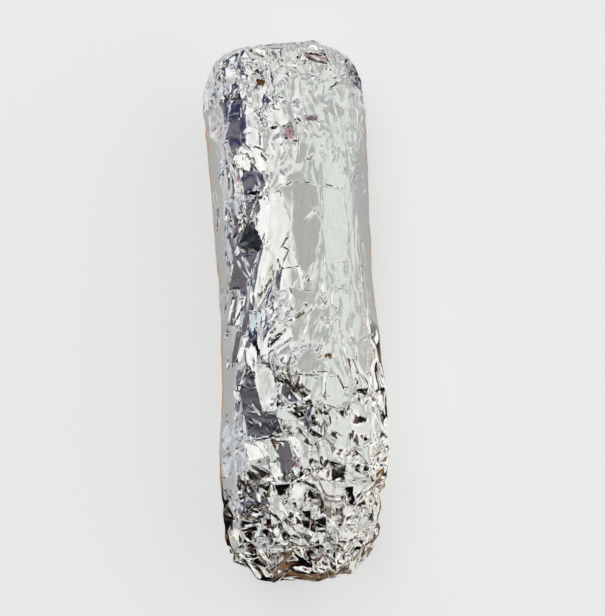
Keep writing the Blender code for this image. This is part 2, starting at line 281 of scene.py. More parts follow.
@dataclass(frozen=True)
class MirroredTable:
    """What the foil's lower sides mirror: a grey table with dark and bright things on it.

    The things lie before and behind the wrap. Under the wrap and close beside it the sheet is painted dark,
    a painted shadow. Only the foil's reflections see it. No lamp lights it: it glows with its colours, as
    they show in the foil.
    """

    foil_share: float = FOIL_SHARE
    widest: float = 400.0  # mm from the wrap's middle line that the sides' colours reach
    sides: tuple[tuple[float, str], ...] = (  # by mm from the wrap's middle line
        # out to 30 mm, under the wrap, the dark grey is painted shadow
        (0, "#4C453E"),
        (30, "#4C453E"),
        (34, "#AE8F74"),
        (38, "#AE8F74"),
        (46, "#A9A8A6"),
        (400, "#C0C4C8"),
    )
    # the colour of the painted shadow under the wrap
    shade: str = "#2A2724"
    shade_half_width: float = 29.0  # mm
    shade_half_length: float = 100.0  # mm
    shade_edge: float = 7.0  # mm over which it fades in
    near_patch_mm: float = 14.0
    far_patch_mm: float = 42.0
    far_from: tuple[float, float] = (-110.0, -118.0)  # mm along Y between which the patches widen
    pale_side: float = 0.22  # how much paler the patches are on the +X side
    paler_from: tuple[float, float] = (-20.0, 40.0)  # mm along X between which they turn paler
    before_turn: float = -0.6  # the patches in front reach further up along the +X side
    before_from: tuple[float, float] = (-20.0, -50.0)  # mm along Y between which they come in
    behind_from: tuple[float, float] = (84.0, 92.0)
    before: tuple[tuple[float, str], ...] = (
        (0.00, "#050407"),
        (0.40, "#0E0C10"),
        (0.44, "#3A2A20"),
        (0.48, "#86663F"),
        (0.52, "#5C484C"),
        (0.57, "#8A8A8E"),
        (0.63, "#DCD8D0"),
        (1.00, "#FFFEF8"),
    )
    behind: tuple[tuple[float, str], ...] = (
        (0.00, "#24243E"),
        (0.14, "#3E3E54"),
        (0.20, "#A08488"),
        (0.28, "#B8A4A6"),
        (0.36, "#BDBDBE"),
        (1.00, "#E9EAE9"),
    )

    def build(self) -> bpy.types.Material:
        """Makes the material.

        Returns:
            The table's material.
        """
        material, tree, shader = new_material("mirrored_table")
        place = add_node(tree, "ShaderNodeTexCoord").outputs["Object"]
        parts = add_node(tree, "ShaderNodeSeparateXYZ", vector=place).outputs
        out = add_node(tree, "ShaderNodeMath", {"operation": "ABSOLUTE"}, in0=parts["X"]).outputs["Value"]
        share = add_node(tree, "ShaderNodeMapRange", value=out, from_max=self.widest * MM).outputs["Result"]
        sides = tuple((mm / self.widest, hue) for mm, hue in self.sides)
        colour = add_node(tree, "ShaderNodeValToRGB", stops=sides, fac=share).outputs["Color"]
        chances = []
        for mm in (self.near_patch_mm, self.far_patch_mm):
            cells = add_node(tree, "ShaderNodeTexVoronoi", vector=place, scale=1 / (mm * MM))
            split = add_node(tree, "ShaderNodeSeparateColor", color=cells.outputs["Color"])
            chances.append(split.outputs["Red"])
        near_end, far_end = self.far_from
        far = add_node(
            tree, "ShaderNodeMapRange", value=parts["Y"], from_min=near_end * MM, from_max=far_end * MM
        ).outputs["Result"]
        chance = add_node(
            tree, "ShaderNodeMix", {"data_type": "FLOAT"}, factor=far, in2=chances[0], in3=chances[1]
        ).outputs[0]
        dim_side, bright_side = self.paler_from
        pale = add_node(
            tree, "ShaderNodeMapRange", value=parts["X"],
            from_min=dim_side * MM, from_max=bright_side * MM, to_max=self.pale_side,
        ).outputs["Result"]
        raised = add_node(tree, "ShaderNodeMath", in0=chance, in1=pale).outputs["Value"]
        turned = add_node(
            tree, "ShaderNodeMath", {"operation": "MULTIPLY_ADD"},
            in0=parts["X"], in1=self.before_turn, in2=parts["Y"],
        ).outputs["Value"]
        for hues, guide, way, (start, full) in (
            (self.before, raised, turned, self.before_from),
            (self.behind, chances[0], parts["Y"], self.behind_from),
        ):
            own = add_node(tree, "ShaderNodeValToRGB", stops=hues, fac=guide).outputs["Color"]
            cover = add_node(
                tree, "ShaderNodeMapRange", {"interpolation_type": "SMOOTHSTEP"},
                value=way, from_min=start * MM, from_max=full * MM,
            ).outputs["Result"]
            colour = add_node(
                tree, "ShaderNodeMix", {"data_type": "RGBA"}, factor=cover, in6=colour, in7=own
            ).outputs[2]
        # Painted shadow: the sheet is made dark under the wrap, where no light would get in.
        away = add_node(tree, "ShaderNodeMath", {"operation": "ABSOLUTE"}, in0=parts["Y"]).outputs["Value"]
        shares = []
        for way, reach in ((out, self.shade_half_width), (away, self.shade_half_length)):
            full = reach - self.shade_edge
            shares.append(
                add_node(
                    tree, "ShaderNodeMapRange", value=way, from_min=reach * MM, from_max=full * MM
                ).outputs["Result"]
            )
        shade = add_node(tree, "ShaderNodeMath", {"operation": "MULTIPLY"}, in0=shares[0], in1=shares[1])
        colour = add_node(
            tree, "ShaderNodeMix", {"data_type": "RGBA"},
            factor=shade.outputs["Value"], in6=colour, in7=linear(self.shade),
        ).outputs[2]
        # No lamp lights the sheet: it glows with its colours, a painted picture of a lit table for the foil
        # to mirror.
        shader.inputs["Base Color"].default_value = (0.0, 0.0, 0.0, 1.0)
        shader.inputs["Specular IOR Level"].default_value = 0.0
        tree.links.new(colour, shader.inputs["Emission Color"])
        shader.inputs["Emission Strength"].default_value = 1.0 / self.foil_share
        return material


@dataclass(frozen=True)
class PhotoView:
    """The photograph's frame and viewing angle, which the camera and the placed creases share."""

    width: int = 605  # pixels
    height: int = 616
    azimuth: float = -3.4  # degrees
    elevation: float = 76.0
    distance: float = 0.55
    lens_mm: float = 85.1
    sensor_mm: float = 36.0
    aim_height: float = 0.024
    aim_right: float = 0.00227  # the wrap lies a little left of the frame's middle
    aim_up: float = -0.00095

    def axes(self) -> tuple[Vector, Vector, Vector]:
        """Works out the frame's directions.

        Returns:
            The directions to the right, up and back towards the camera.
        """
        azimuth, elevation = math.radians(self.azimuth), math.radians(self.elevation)
        level = math.cos(elevation)
        back = Vector((math.sin(azimuth) * level, -math.cos(azimuth) * level, math.sin(elevation)))
        right = Vector((math.cos(azimuth), math.sin(azimuth), 0.0))
        return right, back.cross(right), back

    def eye(self) -> Vector:
        """Works out where the camera stands.

        Returns:
            The place.
        """
        right, up, back = self.axes()
        aim = Vector((0.0, 0.0, self.aim_height)) + right * self.aim_right + up * self.aim_up
        return aim + back * self.distance

    def ray(self, pixel: tuple[float, float]) -> Vector:
        """Works out the direction in which the camera sees a pixel of the photograph.

        Args:
            pixel: The pixel, from the photograph's upper left corner.

        Returns:
            The direction.
        """
        right, up, back = self.axes()
        step = self.sensor_mm / self.lens_mm / max(self.width, self.height)
        across, rise = pixel[0] - self.width / 2, self.height / 2 - pixel[1]
        return (right * across * step + up * rise * step - back).normalized()


class Fold(Enum):
    """Which way a crease stands."""

    RIDGE = 1.0
    VALLEY = -1.0


@dataclass(frozen=True)
class Crease:
    """A crease in the foil, straight between the pixels of the photograph that it runs through."""

    route: tuple[tuple[float, float], ...]
    fold: Fold = Fold.VALLEY
    width: float = 0.6  # mm, of each of its two flanks
    height: float = 0.4  # mm


class Facing(Enum):
    """Where a flat patch of foil faces: degrees from straight up towards +X and +Y.

    Each is named for what it mirrors there.
    """

    WHITE = (-11.0, 0.0)
    GREY = (6.0, 0.0)
    PALE = (22.0, 1.0)
    CREAM = (10.0, -9.0)
    PEARL = (-2.0, 0.0)
    SHEET = (4.0, -7.0)
    DUSK = (-30.0, -1.0)
    SLATE = (-30.0, 4.0)
    NAVY = (-30.0, 8.0)
    DEEP_GREEN = (-30.0, -9.0)
    BLACK = (-3.0, -28.0)
    TAN = (17.0, -19.0)
    ROSE = (4.0, 16.0)
    ICE = (-38.0, 16.0)
    FROST = (-39.0, 14.0)


@dataclass(frozen=True)
class Facet:
    """A flat patch of foil between creases."""

    facing: Facing
    outline: tuple[tuple[float, float], ...]  # pixels of the photograph, round a convex shape
    depth: float = 0.0  # mm that its middle is pressed in
    flatness: float = 0.9


@dataclass(frozen=True)
class WrinkleField:
    """Many small creases spread over a patch of the foil.

    Places are unrolled: s runs round the roll from its top line, towards +X, and y along it, in mm.
    """

    middle: tuple[float, float]  # (s, y)
    reach: tuple[float, float]  # how far it spreads along s and y
    count: int
    heading: float  # degrees from +Y towards +s
    spread: float  # how far the headings differ, in degrees
    length: float  # in mm
    width: float  # mm, of each flank
    height: float  # in mm


class Patch(Enum):
    """The flat patches that the photograph shows, each named for its colour or for where it lies."""

    # The dark and pale patches of the -X side, from the folded end down.
    SHOULDER_DUSK = Facet(
        Facing.DUSK, ((229, 116), (239, 114), (240, 146), (230, 153), (226, 136)), 0.0, 0.6
    )
    SHOULDER_NAVY = Facet(Facing.NAVY, ((231, 105), (240, 103), (241, 117), (228, 121)), 0.0, 0.7)
    SHOULDER_PEARL = Facet(
        Facing.PEARL, ((235, 156), (246, 154), (251, 160), (249, 171), (238, 168)), 0.0, 0.6
    )
    SHOULDER_ICE = Facet(Facing.ICE, ((221, 160), (225, 162), (224, 174), (220, 179)), 0.0, 0.6)
    WAIST_NAVY = Facet(Facing.NAVY, ((240, 174), (253, 179), (257, 178), (261, 190), (244, 197)))
    WAIST_BLACK = Facet(Facing.BLACK, ((249, 192), (262, 190), (261, 195), (249, 195)), 0.5)
    WAIST_NAVY_LOWER = Facet(Facing.NAVY, ((249, 202), (256, 197), (265, 195), (257, 201)))
    WAIST_DUSK = Facet(Facing.DUSK, ((243, 202), (254, 202), (251, 217), (248, 217)))
    WAIST_ICE = Facet(Facing.ICE, ((238, 213), (242, 212), (242, 223), (239, 227)))
    WAIST_NAVY_OUTER = Facet(Facing.NAVY, ((226, 237), (231, 234), (230, 240)))
    GREEN_PATCH = Facet(
        Facing.DEEP_GREEN,
        ((250, 220), (255, 223), (262, 240), (261, 248), (257, 253), (237, 255), (238, 245)),
    )
    DUSK_PATCH = Facet(Facing.DUSK, ((236, 256), (258, 254), (245, 287), (231, 291)))
    WHITE_SHEET = Facet(
        Facing.WHITE,
        ((265, 198), (279, 191), (290, 222), (298, 266), (284, 268), (262, 240), (256, 220)), 0.0, 0.6,
    )
    # Long strips on the -X side.
    STRIP_DUSK_UPPER = Facet(Facing.DUSK, ((232, 297), (237, 296), (233, 325), (229, 326)))
    STRIP_WHITE_UPPER = Facet(Facing.WHITE, ((239, 300), (243, 299), (239, 325), (236, 326)))
    STRIP_DUSK_INNER = Facet(Facing.DUSK, ((244, 318), (249, 316), (245, 334), (240, 337)))
    STRIP_DUSK_LOWER = Facet(Facing.DUSK, ((237, 332), (242, 331), (236, 361), (232, 363)))
    STRIP_WHITE_LOWER = Facet(Facing.WHITE, ((244, 338), (248, 336), (241, 362), (238, 363)))
    STRIP_FROST = Facet(Facing.FROST, ((226, 333), (231, 332), (228, 368), (225, 358)), 0.0, 0.5)
    # The calm grey and pale sheets along the top, the dent in them and the tan patch below it.
    GREY_SHEET = Facet(
        Facing.GREY, ((293, 182), (317, 184), (321, 225), (316, 262), (301, 270), (292, 232)), 0.0, 0.7
    )
    PALE_SHEET = Facet(Facing.PALE, ((323, 184), (343, 190), (348, 230), (345, 262), (325, 262)), 0.0, 0.6)
    DENT = Facet(Facing.GREY, ((290, 288), (310, 291), (306, 301), (294, 298)))
    SADDLE = Facet(Facing.GREY, ((298, 356), (310, 348), (320, 354), (327, 371), (298, 373)), 0.0, 0.8)
    TAN_SPOT = Facet(Facing.TAN, ((317, 356), (333, 353), (335, 357), (324, 360)))
    FROST_SPOT = Facet(Facing.FROST, ((250, 310), (261, 314), (258, 327), (250, 326)))
    # The dark sheet with its pale neighbour, the flap, and the hollow under it.
    DARK_SHEET = Facet(Facing.DUSK, ((249, 370), (256, 377), (262, 411), (242, 411), (239, 391)))
    DARK_SHEET_FOOT = Facet(Facing.DUSK, ((242, 412), (277, 415), (284, 431), (262, 436), (244, 440)))
    PEARL_SHEET = Facet(
        Facing.PEARL, ((252, 364), (269, 364), (277, 390), (276, 411), (262, 411), (258, 386)), 0.0, 1.0
    )
    FLAP = Facet(
        Facing.SHEET, ((279, 372), (298, 376), (324, 377), (323, 402), (307, 404), (288, 388)), 0.0, 1.0
    )
    FLAP_EDGE = Facet(Facing.SHEET, ((277, 392), (290, 403), (312, 405), (310, 411), (277, 411)), 0.0, 1.0)
    FLAP_SHADOW = Facet(Facing.DUSK, ((279, 377), (300, 402), (289, 401), (277, 391)), 0.3)
    PALE_UNDER_FLAP = Facet(Facing.PALE, ((265, 413), (293, 408), (300, 418), (296, 422), (284, 420)))
    CREAM_UNDER_FLAP = Facet(Facing.CREAM, ((284, 421), (297, 421), (308, 436), (300, 440), (286, 428)))
    SIDE_SHEET_UPPER = Facet(
        Facing.PALE, ((326, 378), (338, 376), (344, 392), (338, 408), (326, 404)), 0.0, 0.8
    )
    SIDE_SHEET_LOWER = Facet(
        Facing.PALE, ((330, 410), (344, 408), (350, 425), (342, 436), (332, 430)), 0.0, 0.7
    )
    DARK_SHEET_CRACK = Facet(
        Facing.BLACK, ((260, 440), (271, 436), (284, 431), (295, 435), (283, 438)), 0.8
    )
    FROST_UPPER = Facet(
        Facing.FROST, ((233, 389), (239, 393), (243, 418), (243, 436), (238, 441), (236, 416))
    )
    FROST_OUTER = Facet(Facing.FROST, ((227, 415), (231, 439), (225, 451), (223, 440)))
    FROST_FOOT = Facet(Facing.FROST, ((224, 458), (230, 453), (235, 470), (226, 478)))
    FROST_LOWER = Facet(Facing.FROST, ((236, 449), (242, 446), (247, 466), (244, 478), (238, 470)))
    HOLLOW_BLACK = Facet(Facing.BLACK, ((289, 412), (302, 411), (305, 416), (297, 418)), 0.6)
    HOLLOW_DUSK = Facet(Facing.DUSK, ((298, 419), (306, 417), (311, 428), (309, 434), (302, 429)), 0.4)
    HOLLOW_CRACK = Facet(Facing.BLACK, ((310, 428), (323, 436), (332, 444), (319, 439), (309, 434)), 0.9)
    # Below them: the white patch, the slope beside it, and the pits of the scrunched end.
    WHITE_PATCH = Facet(Facing.WHITE, ((245, 443), (262, 441), (268, 457), (250, 462)))
    CREAM_SLOPE = Facet(Facing.CREAM, ((250, 462), (268, 457), (274, 481), (248, 480)))
    SLATE_SLOPE = Facet(
        Facing.SLATE, ((276, 442), (289, 441), (295, 462), (289, 476), (278, 466)), 0.0, 1.0
    )
    TAN_BESIDE_PIT = Facet(Facing.TAN, ((312, 473), (331, 468), (332, 480), (314, 480)))
    PIT = Facet(Facing.BLACK, ((332, 469), (346, 465), (345, 487), (334, 487)), 0.8)
    BLACK_MIDDLE = Facet(Facing.BLACK, ((300, 511), (311, 511), (309, 531), (304, 530)), 0.7)
    BLACK_RIGHT = Facet(Facing.BLACK, ((315, 520), (326, 517), (326, 529), (317, 529)), 0.7)
    BLACK_LOW = Facet(Facing.BLACK, ((306, 548), (319, 545), (316, 561), (307, 560)), 0.7)
    BLACK_AT_END = Facet(Facing.BLACK, ((270, 558), (283, 554), (282, 566), (278, 573), (271, 567)), 0.6)
    GREEN_NICK = Facet(Facing.DEEP_GREEN, ((258, 485), (271, 484), (267, 492)), 0.4)
    TAN_NICK = Facet(Facing.TAN, ((312, 500), (320, 500), (317, 516)))
    CREAM_WEDGE = Facet(Facing.CREAM, ((271, 502), (286, 517), (272, 526)))
    CREAM_BAND = Facet(Facing.CREAM, ((286, 518), (308, 534), (311, 546), (298, 534)))
    CREAM_SLIP = Facet(Facing.CREAM, ((324, 498), (334, 497), (331, 518), (326, 518)))
    PALE_WEDGE = Facet(Facing.PALE, ((268, 549), (285, 546), (272, 556)))
    CREAM_RIDGE = Facet(
        Facing.CREAM, ((302, 481), (322, 478), (334, 486), (341, 495), (332, 499), (320, 492)), 0.0, 0.7
    )
    CREAM_SIDE = Facet(Facing.CREAM, ((330, 503), (345, 500), (356, 515), (350, 528), (334, 520)), 0.0, 0.7)
    PEARL_RIDGE = Facet(
        Facing.PEARL, ((268, 498), (276, 496), (288, 514), (280, 520), (272, 508)), 0.0, 0.7
    )
    CREAM_CORNER = Facet(
        Facing.CREAM, ((332, 532), (348, 530), (356, 540), (344, 553), (334, 545)), 0.0, 0.7
    )
    BLACK_OVER_PIT = Facet(Facing.BLACK, ((275, 485), (290, 484), (287, 496), (278, 495)), 0.5)
    BLACK_FAR_LEFT_END = Facet(Facing.BLACK, ((244, 554), (258, 556), (254, 565)), 0.5)
    BLACK_SIDE_UPPER = Facet(Facing.BLACK, ((357, 389), (366, 388), (367, 396), (360, 397)), 0.4)
    BLACK_SIDE_LOWER = Facet(Facing.BLACK, ((338, 411), (345, 410), (344, 417)), 0.4)
    BLACK_CORNER = Facet(Facing.BLACK, ((324, 548), (336, 547), (333, 561)), 0.5)
    BLACK_UNDER_PIT = Facet(Facing.BLACK, ((345, 487), (352, 487), (353, 507), (347, 507)), 0.5)
    BLACK_LEFT = Facet(Facing.BLACK, ((262, 521), (272, 519), (276, 540), (266, 538)), 0.5)
    BLACK_FAR_LEFT = Facet(Facing.BLACK, ((246, 528), (258, 526), (256, 540), (248, 541)), 0.5)
    # Rose and white patches of the folded end.
    ROSE_FOLD_LEFT = Facet(Facing.ROSE, ((246, 52), (256, 53), (264, 59), (252, 59)), 0.0, 0.8)
    ROSE_FOLD_MIDDLE = Facet(Facing.ROSE, ((269, 53), (281, 56), (275, 61)), 0.0, 0.8)
    ROSE_FOLD_RIGHT = Facet(Facing.ROSE, ((304, 53), (322, 56), (329, 62), (308, 60)), 0.0, 0.8)
    ROSE_PATCH = Facet(Facing.ROSE, ((283, 126), (291, 124), (297, 141), (285, 138)))
    ROSE_SPOT = Facet(Facing.ROSE, ((305, 116), (318, 115), (316, 121), (307, 121)))
    WHITE_FOLD = Facet(Facing.WHITE, ((224, 67), (238, 72), (234, 83), (228, 84)))


class Wrinkle(Enum):
    """The creases that the photograph shows, each named for where it lies."""

    # Round the tear: the long shadow below it and the short creases that spread from it.
    TEAR_SHADOW = Crease(((264, 90), (270, 96), (278, 105)), Fold.VALLEY, 0.9, 0.5)
    TEAR_TOP = Crease(((263, 63), (267, 72)), Fold.VALLEY, 0.8, 0.44)
    FOLDED_END = Crease(((266, 51), (274, 62)), Fold.VALLEY, 0.5, 0.28)
    CORNER_OUTER = Crease(((229, 64), (238, 72), (241, 80)), Fold.VALLEY, 0.6, 0.33)
    CORNER_INNER = Crease(((249, 71), (246, 80), (249, 92)), Fold.VALLEY, 0.6, 0.33)
    CORNER_RIDGE = Crease(((241, 60), (250, 71), (254, 77)), Fold.RIDGE, 0.7, 0.25)
    RIDGE_BELOW_TEAR = Crease(((260, 118), (272, 107), (280, 110)), Fold.RIDGE, 0.7, 0.25)
    # Down the -X side.
    SHOULDER_RIDGE = Crease(((223, 148), (234, 160), (243, 166)), Fold.RIDGE, 0.6, 0.22)
    SHOULDER_NICK = Crease(((243, 144), (253, 151)), Fold.VALLEY, 0.5, 0.28)
    SHOULDER_SLANT = Crease(((250, 145), (262, 150), (269, 156)), Fold.VALLEY, 0.6, 0.33)
    SHOULDER_VALLEY = Crease(((251, 155), (254, 163), (252, 172)), Fold.VALLEY, 0.7, 0.39)
    SHOULDER_LOWER = Crease(((259, 152), (268, 163)), Fold.VALLEY, 0.5, 0.25)
    WAIST_RIDGE = Crease(((240, 180), (243, 199), (248, 216)), Fold.RIDGE, 0.5, 0.18)
    WAIST_EDGE = Crease(((222, 199), (242, 200)), Fold.RIDGE, 0.5, 0.18)
    WAIST_NICK_LEFT = Crease(((215, 204), (217, 212)), Fold.VALLEY, 0.5, 0.28)
    WAIST_NICK_RIGHT = Crease(((218, 203), (221, 208)), Fold.VALLEY, 0.5, 0.28)
    WAIST_NICK_TOP = Crease(((222, 196), (228, 195)), Fold.VALLEY, 0.4, 0.22)
    WAIST_LINE_LEFT = Crease(((266, 193), (277, 187), (293, 180)), Fold.RIDGE, 0.7, 0.13)
    WAIST_LINE_RIGHT = Crease(((296, 181), (316, 186), (338, 190), (352, 204)), Fold.RIDGE, 0.7, 0.13)
    PRESSED_VALLEY = Crease(((312, 206), (318, 214), (324, 222)), Fold.VALLEY, 0.8, 0.2)
    PRESSED_RIDGE = Crease(((304, 222), (314, 212), (318, 206)), Fold.RIDGE, 0.8, 0.2)
    WAIST_SLANT = Crease(((232, 241), (240, 233), (250, 219)), Fold.VALLEY, 0.5, 0.28)
    STAR_RIDGE_DOWN = Crease(((223, 218), (227, 223), (232, 229)), Fold.RIDGE, 0.6, 0.22)
    STAR_RIDGE_UP = Crease(((233, 216), (227, 223), (224, 231)), Fold.RIDGE, 0.6, 0.22)
    STAR_VALLEY = Crease(((220, 226), (227, 223), (235, 222)), Fold.VALLEY, 0.5, 0.28)
    # The fine crumple of the lower -X side.
    CRUMPLE_RIDGE_TOP = Crease(((226, 486), (240, 494), (252, 490)), Fold.RIDGE, 0.8, 0.29)
    CRUMPLE_VALLEY_INNER = Crease(((232, 504), (246, 498), (258, 503)), Fold.VALLEY, 0.7, 0.39)
    CRUMPLE_RIDGE_STEEP = Crease(((238, 484), (240, 500), (248, 514)), Fold.RIDGE, 0.7, 0.25)
    CRUMPLE_VALLEY_OUTER = Crease(((228, 496), (236, 510), (236, 524)), Fold.VALLEY, 0.7, 0.39)
    CRUMPLE_RIDGE_LOW = Crease(((224, 512), (236, 518), (252, 516)), Fold.RIDGE, 0.7, 0.25)
    DUSK_PATCH_EDGE = Crease(((233, 256), (231, 275), (229, 292)), Fold.RIDGE, 0.8, 0.29)
    WHITE_SHEET_ZIGZAG = Crease(((292, 229), (282, 247), (288, 250), (281, 267)), Fold.VALLEY, 0.5, 0.28)
    LONG_SLANT = Crease(((278, 269), (268, 289), (257, 311)), Fold.VALLEY, 0.9, 0.5)
    SIDE_RIDGE = Crease(((250, 275), (251, 292), (249, 306)), Fold.RIDGE, 0.7, 0.25)
    STRIP_VALLEY = Crease(((234, 295), (232, 310), (229, 327)), Fold.VALLEY, 0.6, 0.33)
    STRIP_RIDGE = Crease(((245, 293), (241, 312), (235, 332)), Fold.RIDGE, 0.8, 0.29)
    DARK_SHEET_EDGE = Crease(((249, 367), (243, 378), (237, 391)), Fold.RIDGE, 0.9, 0.32)
    # The slanting wrinkles under the dent.
    SLANT_RIDGE_UPPER = Crease(((289, 287), (272, 303), (262, 311)), Fold.RIDGE, 0.8, 0.29)
    SLANT_RIDGE_OUTER = Crease(((285, 298), (269, 322)), Fold.RIDGE, 0.8, 0.29)
    SLANT_VALLEY_UPPER = Crease(((296, 306), (288, 313), (279, 322)), Fold.VALLEY, 0.9, 0.5)
    SLANT_RIDGE_INNER = Crease(((310, 307), (296, 317), (279, 325)), Fold.RIDGE, 0.9, 0.32)
    DENT_NICK = Crease(((304, 302), (307, 308)), Fold.VALLEY, 0.5, 0.28)
    DENT_NICK_RIGHT = Crease(((320, 300), (324, 303)), Fold.VALLEY, 0.4, 0.22)
    SLANT_VALLEY_LOWER = Crease(((283, 334), (275, 341), (267, 349)), Fold.VALLEY, 0.6, 0.33)
    SLANT_RIDGE_LOWER = Crease(((297, 335), (284, 345), (268, 355)), Fold.RIDGE, 0.8, 0.29)
    DENT_SIDE = Crease(((331, 281), (332, 303), (341, 318)), Fold.VALLEY, 0.6, 0.33)
    CROSS_RIDGE = Crease(((316, 318), (345, 322)), Fold.RIDGE, 0.6, 0.22)
    SADDLE_EDGE = Crease(((311, 348), (290, 355)), Fold.RIDGE, 0.6, 0.22)
    PEARL_SHEET_CRACK = Crease(((271, 361), (275, 375), (276, 389)), Fold.VALLEY, 0.4, 0.22)
    DARK_SHEET_FOOT_EDGE = Crease(((243, 442), (260, 441), (274, 436), (294, 434)), Fold.VALLEY, 0.8, 0.44)
    FLAP_SHADOW_RIDGE = Crease(((288, 376), (301, 397)), Fold.RIDGE, 0.5, 0.15)
    # Round the flap and down the +X side of it.
    FLAP_TOP = Crease(((279, 372), (300, 375), (324, 376)), Fold.VALLEY, 0.4, 0.22)
    FLAP_FOOT = Crease(((290, 403), (306, 405), (323, 402)), Fold.VALLEY, 0.4, 0.2)
    FLAP_SIDE = Crease(((330, 338), (327, 360), (325, 400)), Fold.RIDGE, 0.8, 0.28)
    SIDE_CRACK_UPPER = Crease(((341, 340), (345, 352), (352, 375)), Fold.VALLEY, 0.9, 0.5)
    SIDE_CRACK_LOWER = Crease(((352, 375), (357, 385), (352, 400)), Fold.VALLEY, 0.8, 0.45)
    SIDE_RIDGE_OUTER = Crease(((355, 345), (366, 338), (376, 334)), Fold.RIDGE, 0.8, 0.35)
    # The cracks of the scrunched end.
    HOLLOW_END = Crease(((321, 438), (328, 449)), Fold.VALLEY, 0.6, 0.33)
    HOLLOW_RIDGE = Crease(((295, 421), (304, 433), (317, 445)), Fold.RIDGE, 0.7, 0.25)
    PIT_CRACK = Crease(((291, 483), (304, 482), (313, 489), (324, 497)), Fold.VALLEY, 0.8, 0.44)
    DARK_SHEET_RIDGE_UPPER = Crease(((248, 400), (256, 410), (262, 419)), Fold.RIDGE, 0.4, 0.14)
    DARK_SHEET_RIDGE_OUTER = Crease(((244, 402), (258, 412)), Fold.RIDGE, 0.4, 0.14)
    DARK_SHEET_RIDGE_LOWER = Crease(((250, 417), (260, 423), (262, 430)), Fold.RIDGE, 0.4, 0.14)


@dataclass
class FoilWrap:
    """The crumpled foil jacket."""

    node: str = "foil_wrap"
    inside: str = "tortilla_roll"
    inner_reach: float = 0.6  # mm: faces this close to the tortilla are the jacket's inner wall
    weld: float = 0.001  # mm: corners this close are one
    snap: float = 0.01  # mm: a cut this close to a corner goes through it
    view: PhotoView = PhotoView()
    kink: float = 0.11  # mm, height of the kinks between the crumples' facets
    kink_rarity: int = 5  # the higher, the fewer kinks come near that height; odd, so that they go both ways
    stiffness: float = 0.4  # how much less a crumpled facet curves than a taut one
    finest: float = 1.5  # mm: edges shorter than this aren't split twice
    curve: float = 0.85  # how far a taut facet's new corners move onto the roll's curve
    hard_angle: float = 30.0  # degrees between facets past which their edge stays a crease
    taut_angle: float = 20.0  # degrees between facets past which the edge looks sharp
    crumpled_angle: float = 28.0
    girth_radius: float = 29.0  # mm, of the round that the unrolled places are measured on
    middle_height: float = 22.5  # mm
    fade: float = 0.25  # share of a crease's length over which each end fades out
    cut_reach: float = 1.0  # mm: facets this close to a crease are cut along it
    tear: tuple[float, float] = (260.8, 85.2)  # pixel of the tear's middle, round which no fold runs
    tear_height: float = 46.0  # mm
    tear_radius: float = 1.4  # mm
    tear_clear: tuple[float, float] = (1.8, 3.6)  # mm from its middle between which folds come in
    facet_rim: float = 0.35  # mm, the width of the fold round a placed facet
    facet_reach: float = 1.4  # mm, the most that a placed facet moves the foil
    facet_cut_reach: float = 1.6  # mm: faces this close to its outline are cut along it
    facet_search: float = 2.0  # mm past a facet's corners in which faces are looked for
    steepest: float = 0.3  # cosine past which a facet's lean against the roll no longer adds height
    bend: float = 0.2  # how far a wrinkle's middle is off its straight line, as a share of half its length
    lengths: tuple[float, float] = (0.5, 1.4)  # shares of a field's length, width and height
    widths: tuple[float, float] = (0.7, 1.2)
    heights: tuple[float, float] = (0.4, 1.2)
    seed: int = 17
    far: float = 100.0  # mm, well outside the roll
    length: float = 203.0  # mm, of the wrap
    scrunch_slant: float = 5.0  # lengths that the scrunched part gains for each metre towards +X
    scrunch_across: float = 22.0  # mm to either side over which it slants
    scrunch_from: tuple[float, float] = (0.36, 0.20)  # shares of the length between which it comes in
    folded_from: tuple[float, float] = (0.74, 0.92)
    folded_crumple: float = 0.5  # how crumpled the folded end is
    least_crumple: float = 0.08
    fields: tuple[WrinkleField, ...] = (
        WrinkleField((-27.0, 83.0), (7.0, 9.0), 20, 5.0, 16.0, 6.0, 0.6, 0.25),
        WrinkleField((7.0, 72.0), (19.0, 26.0), 76, 10.0, 60.0, 8.0, 0.9, 0.30),
        WrinkleField((28.0, 45.0), (8.0, 55.0), 56, 0.0, 16.0, 12.0, 0.8, 0.32),
        WrinkleField((-33.0, 35.0), (8.0, 60.0), 56, 0.0, 24.0, 9.0, 0.7, 0.32),
        WrinkleField((-2.0, -4.0), (19.0, 14.0), 26, 42.0, 24.0, 12.0, 1.2, 0.20),
        WrinkleField((14.0, -10.0), (6.0, 12.0), 18, 10.0, 50.0, 6.0, 0.8, 0.34),
        WrinkleField((16.0, 12.0), (6.0, 12.0), 10, 20.0, 40.0, 8.0, 0.9, 0.30),
        WrinkleField((50.0, 30.0), (14.0, 60.0), 30, 10.0, 30.0, 16.0, 1.2, 0.30),
        WrinkleField((-50.0, 20.0), (14.0, 60.0), 30, -10.0, 30.0, 16.0, 1.2, 0.30),
    )

    def copy_of_solid(self) -> bmesh.types.BMesh:
        """Copies the node's mesh and merges its corners.

        Returns:
            The copy.
        """
        bm = bmesh.new()
        bm.from_mesh(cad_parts[self.node].data)
        bmesh.ops.remove_doubles(bm, verts=bm.verts, dist=self.weld * MM)
        return self.renumbered(bm)

    def renumbered(self, bm: bmesh.types.BMesh) -> bmesh.types.BMesh:
        """Makes a mesh anew, so that corners which are added later come last.

        Args:
            bm: The mesh, which is freed.

        Returns:
            The new one, in triangles.
        """
        bmesh.ops.triangulate(bm, faces=bm.faces)
        kept = bpy.data.meshes.new("renumbered")
        bm.to_mesh(kept)
        bm.free()
        fresh = bmesh.new()
        fresh.from_mesh(kept)
        bpy.data.meshes.remove(kept)
        return fresh

    def tag_outside(self, bm: bmesh.types.BMesh) -> None:
        """Marks the faces that the eye can see, and not those that lie against the tortilla.

        Args:
            bm: The jacket.
        """
        roll = bmesh.new()
        roll.from_mesh(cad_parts[self.inside].data)
        tree = BVHTree.FromBMesh(roll)
        roll.free()
        tag = bm.faces.layers.int.new("outer")
        for face in bm.faces:
            face[tag] = tree.find_nearest(face.calc_center_median())[3] > self.inner_reach * MM

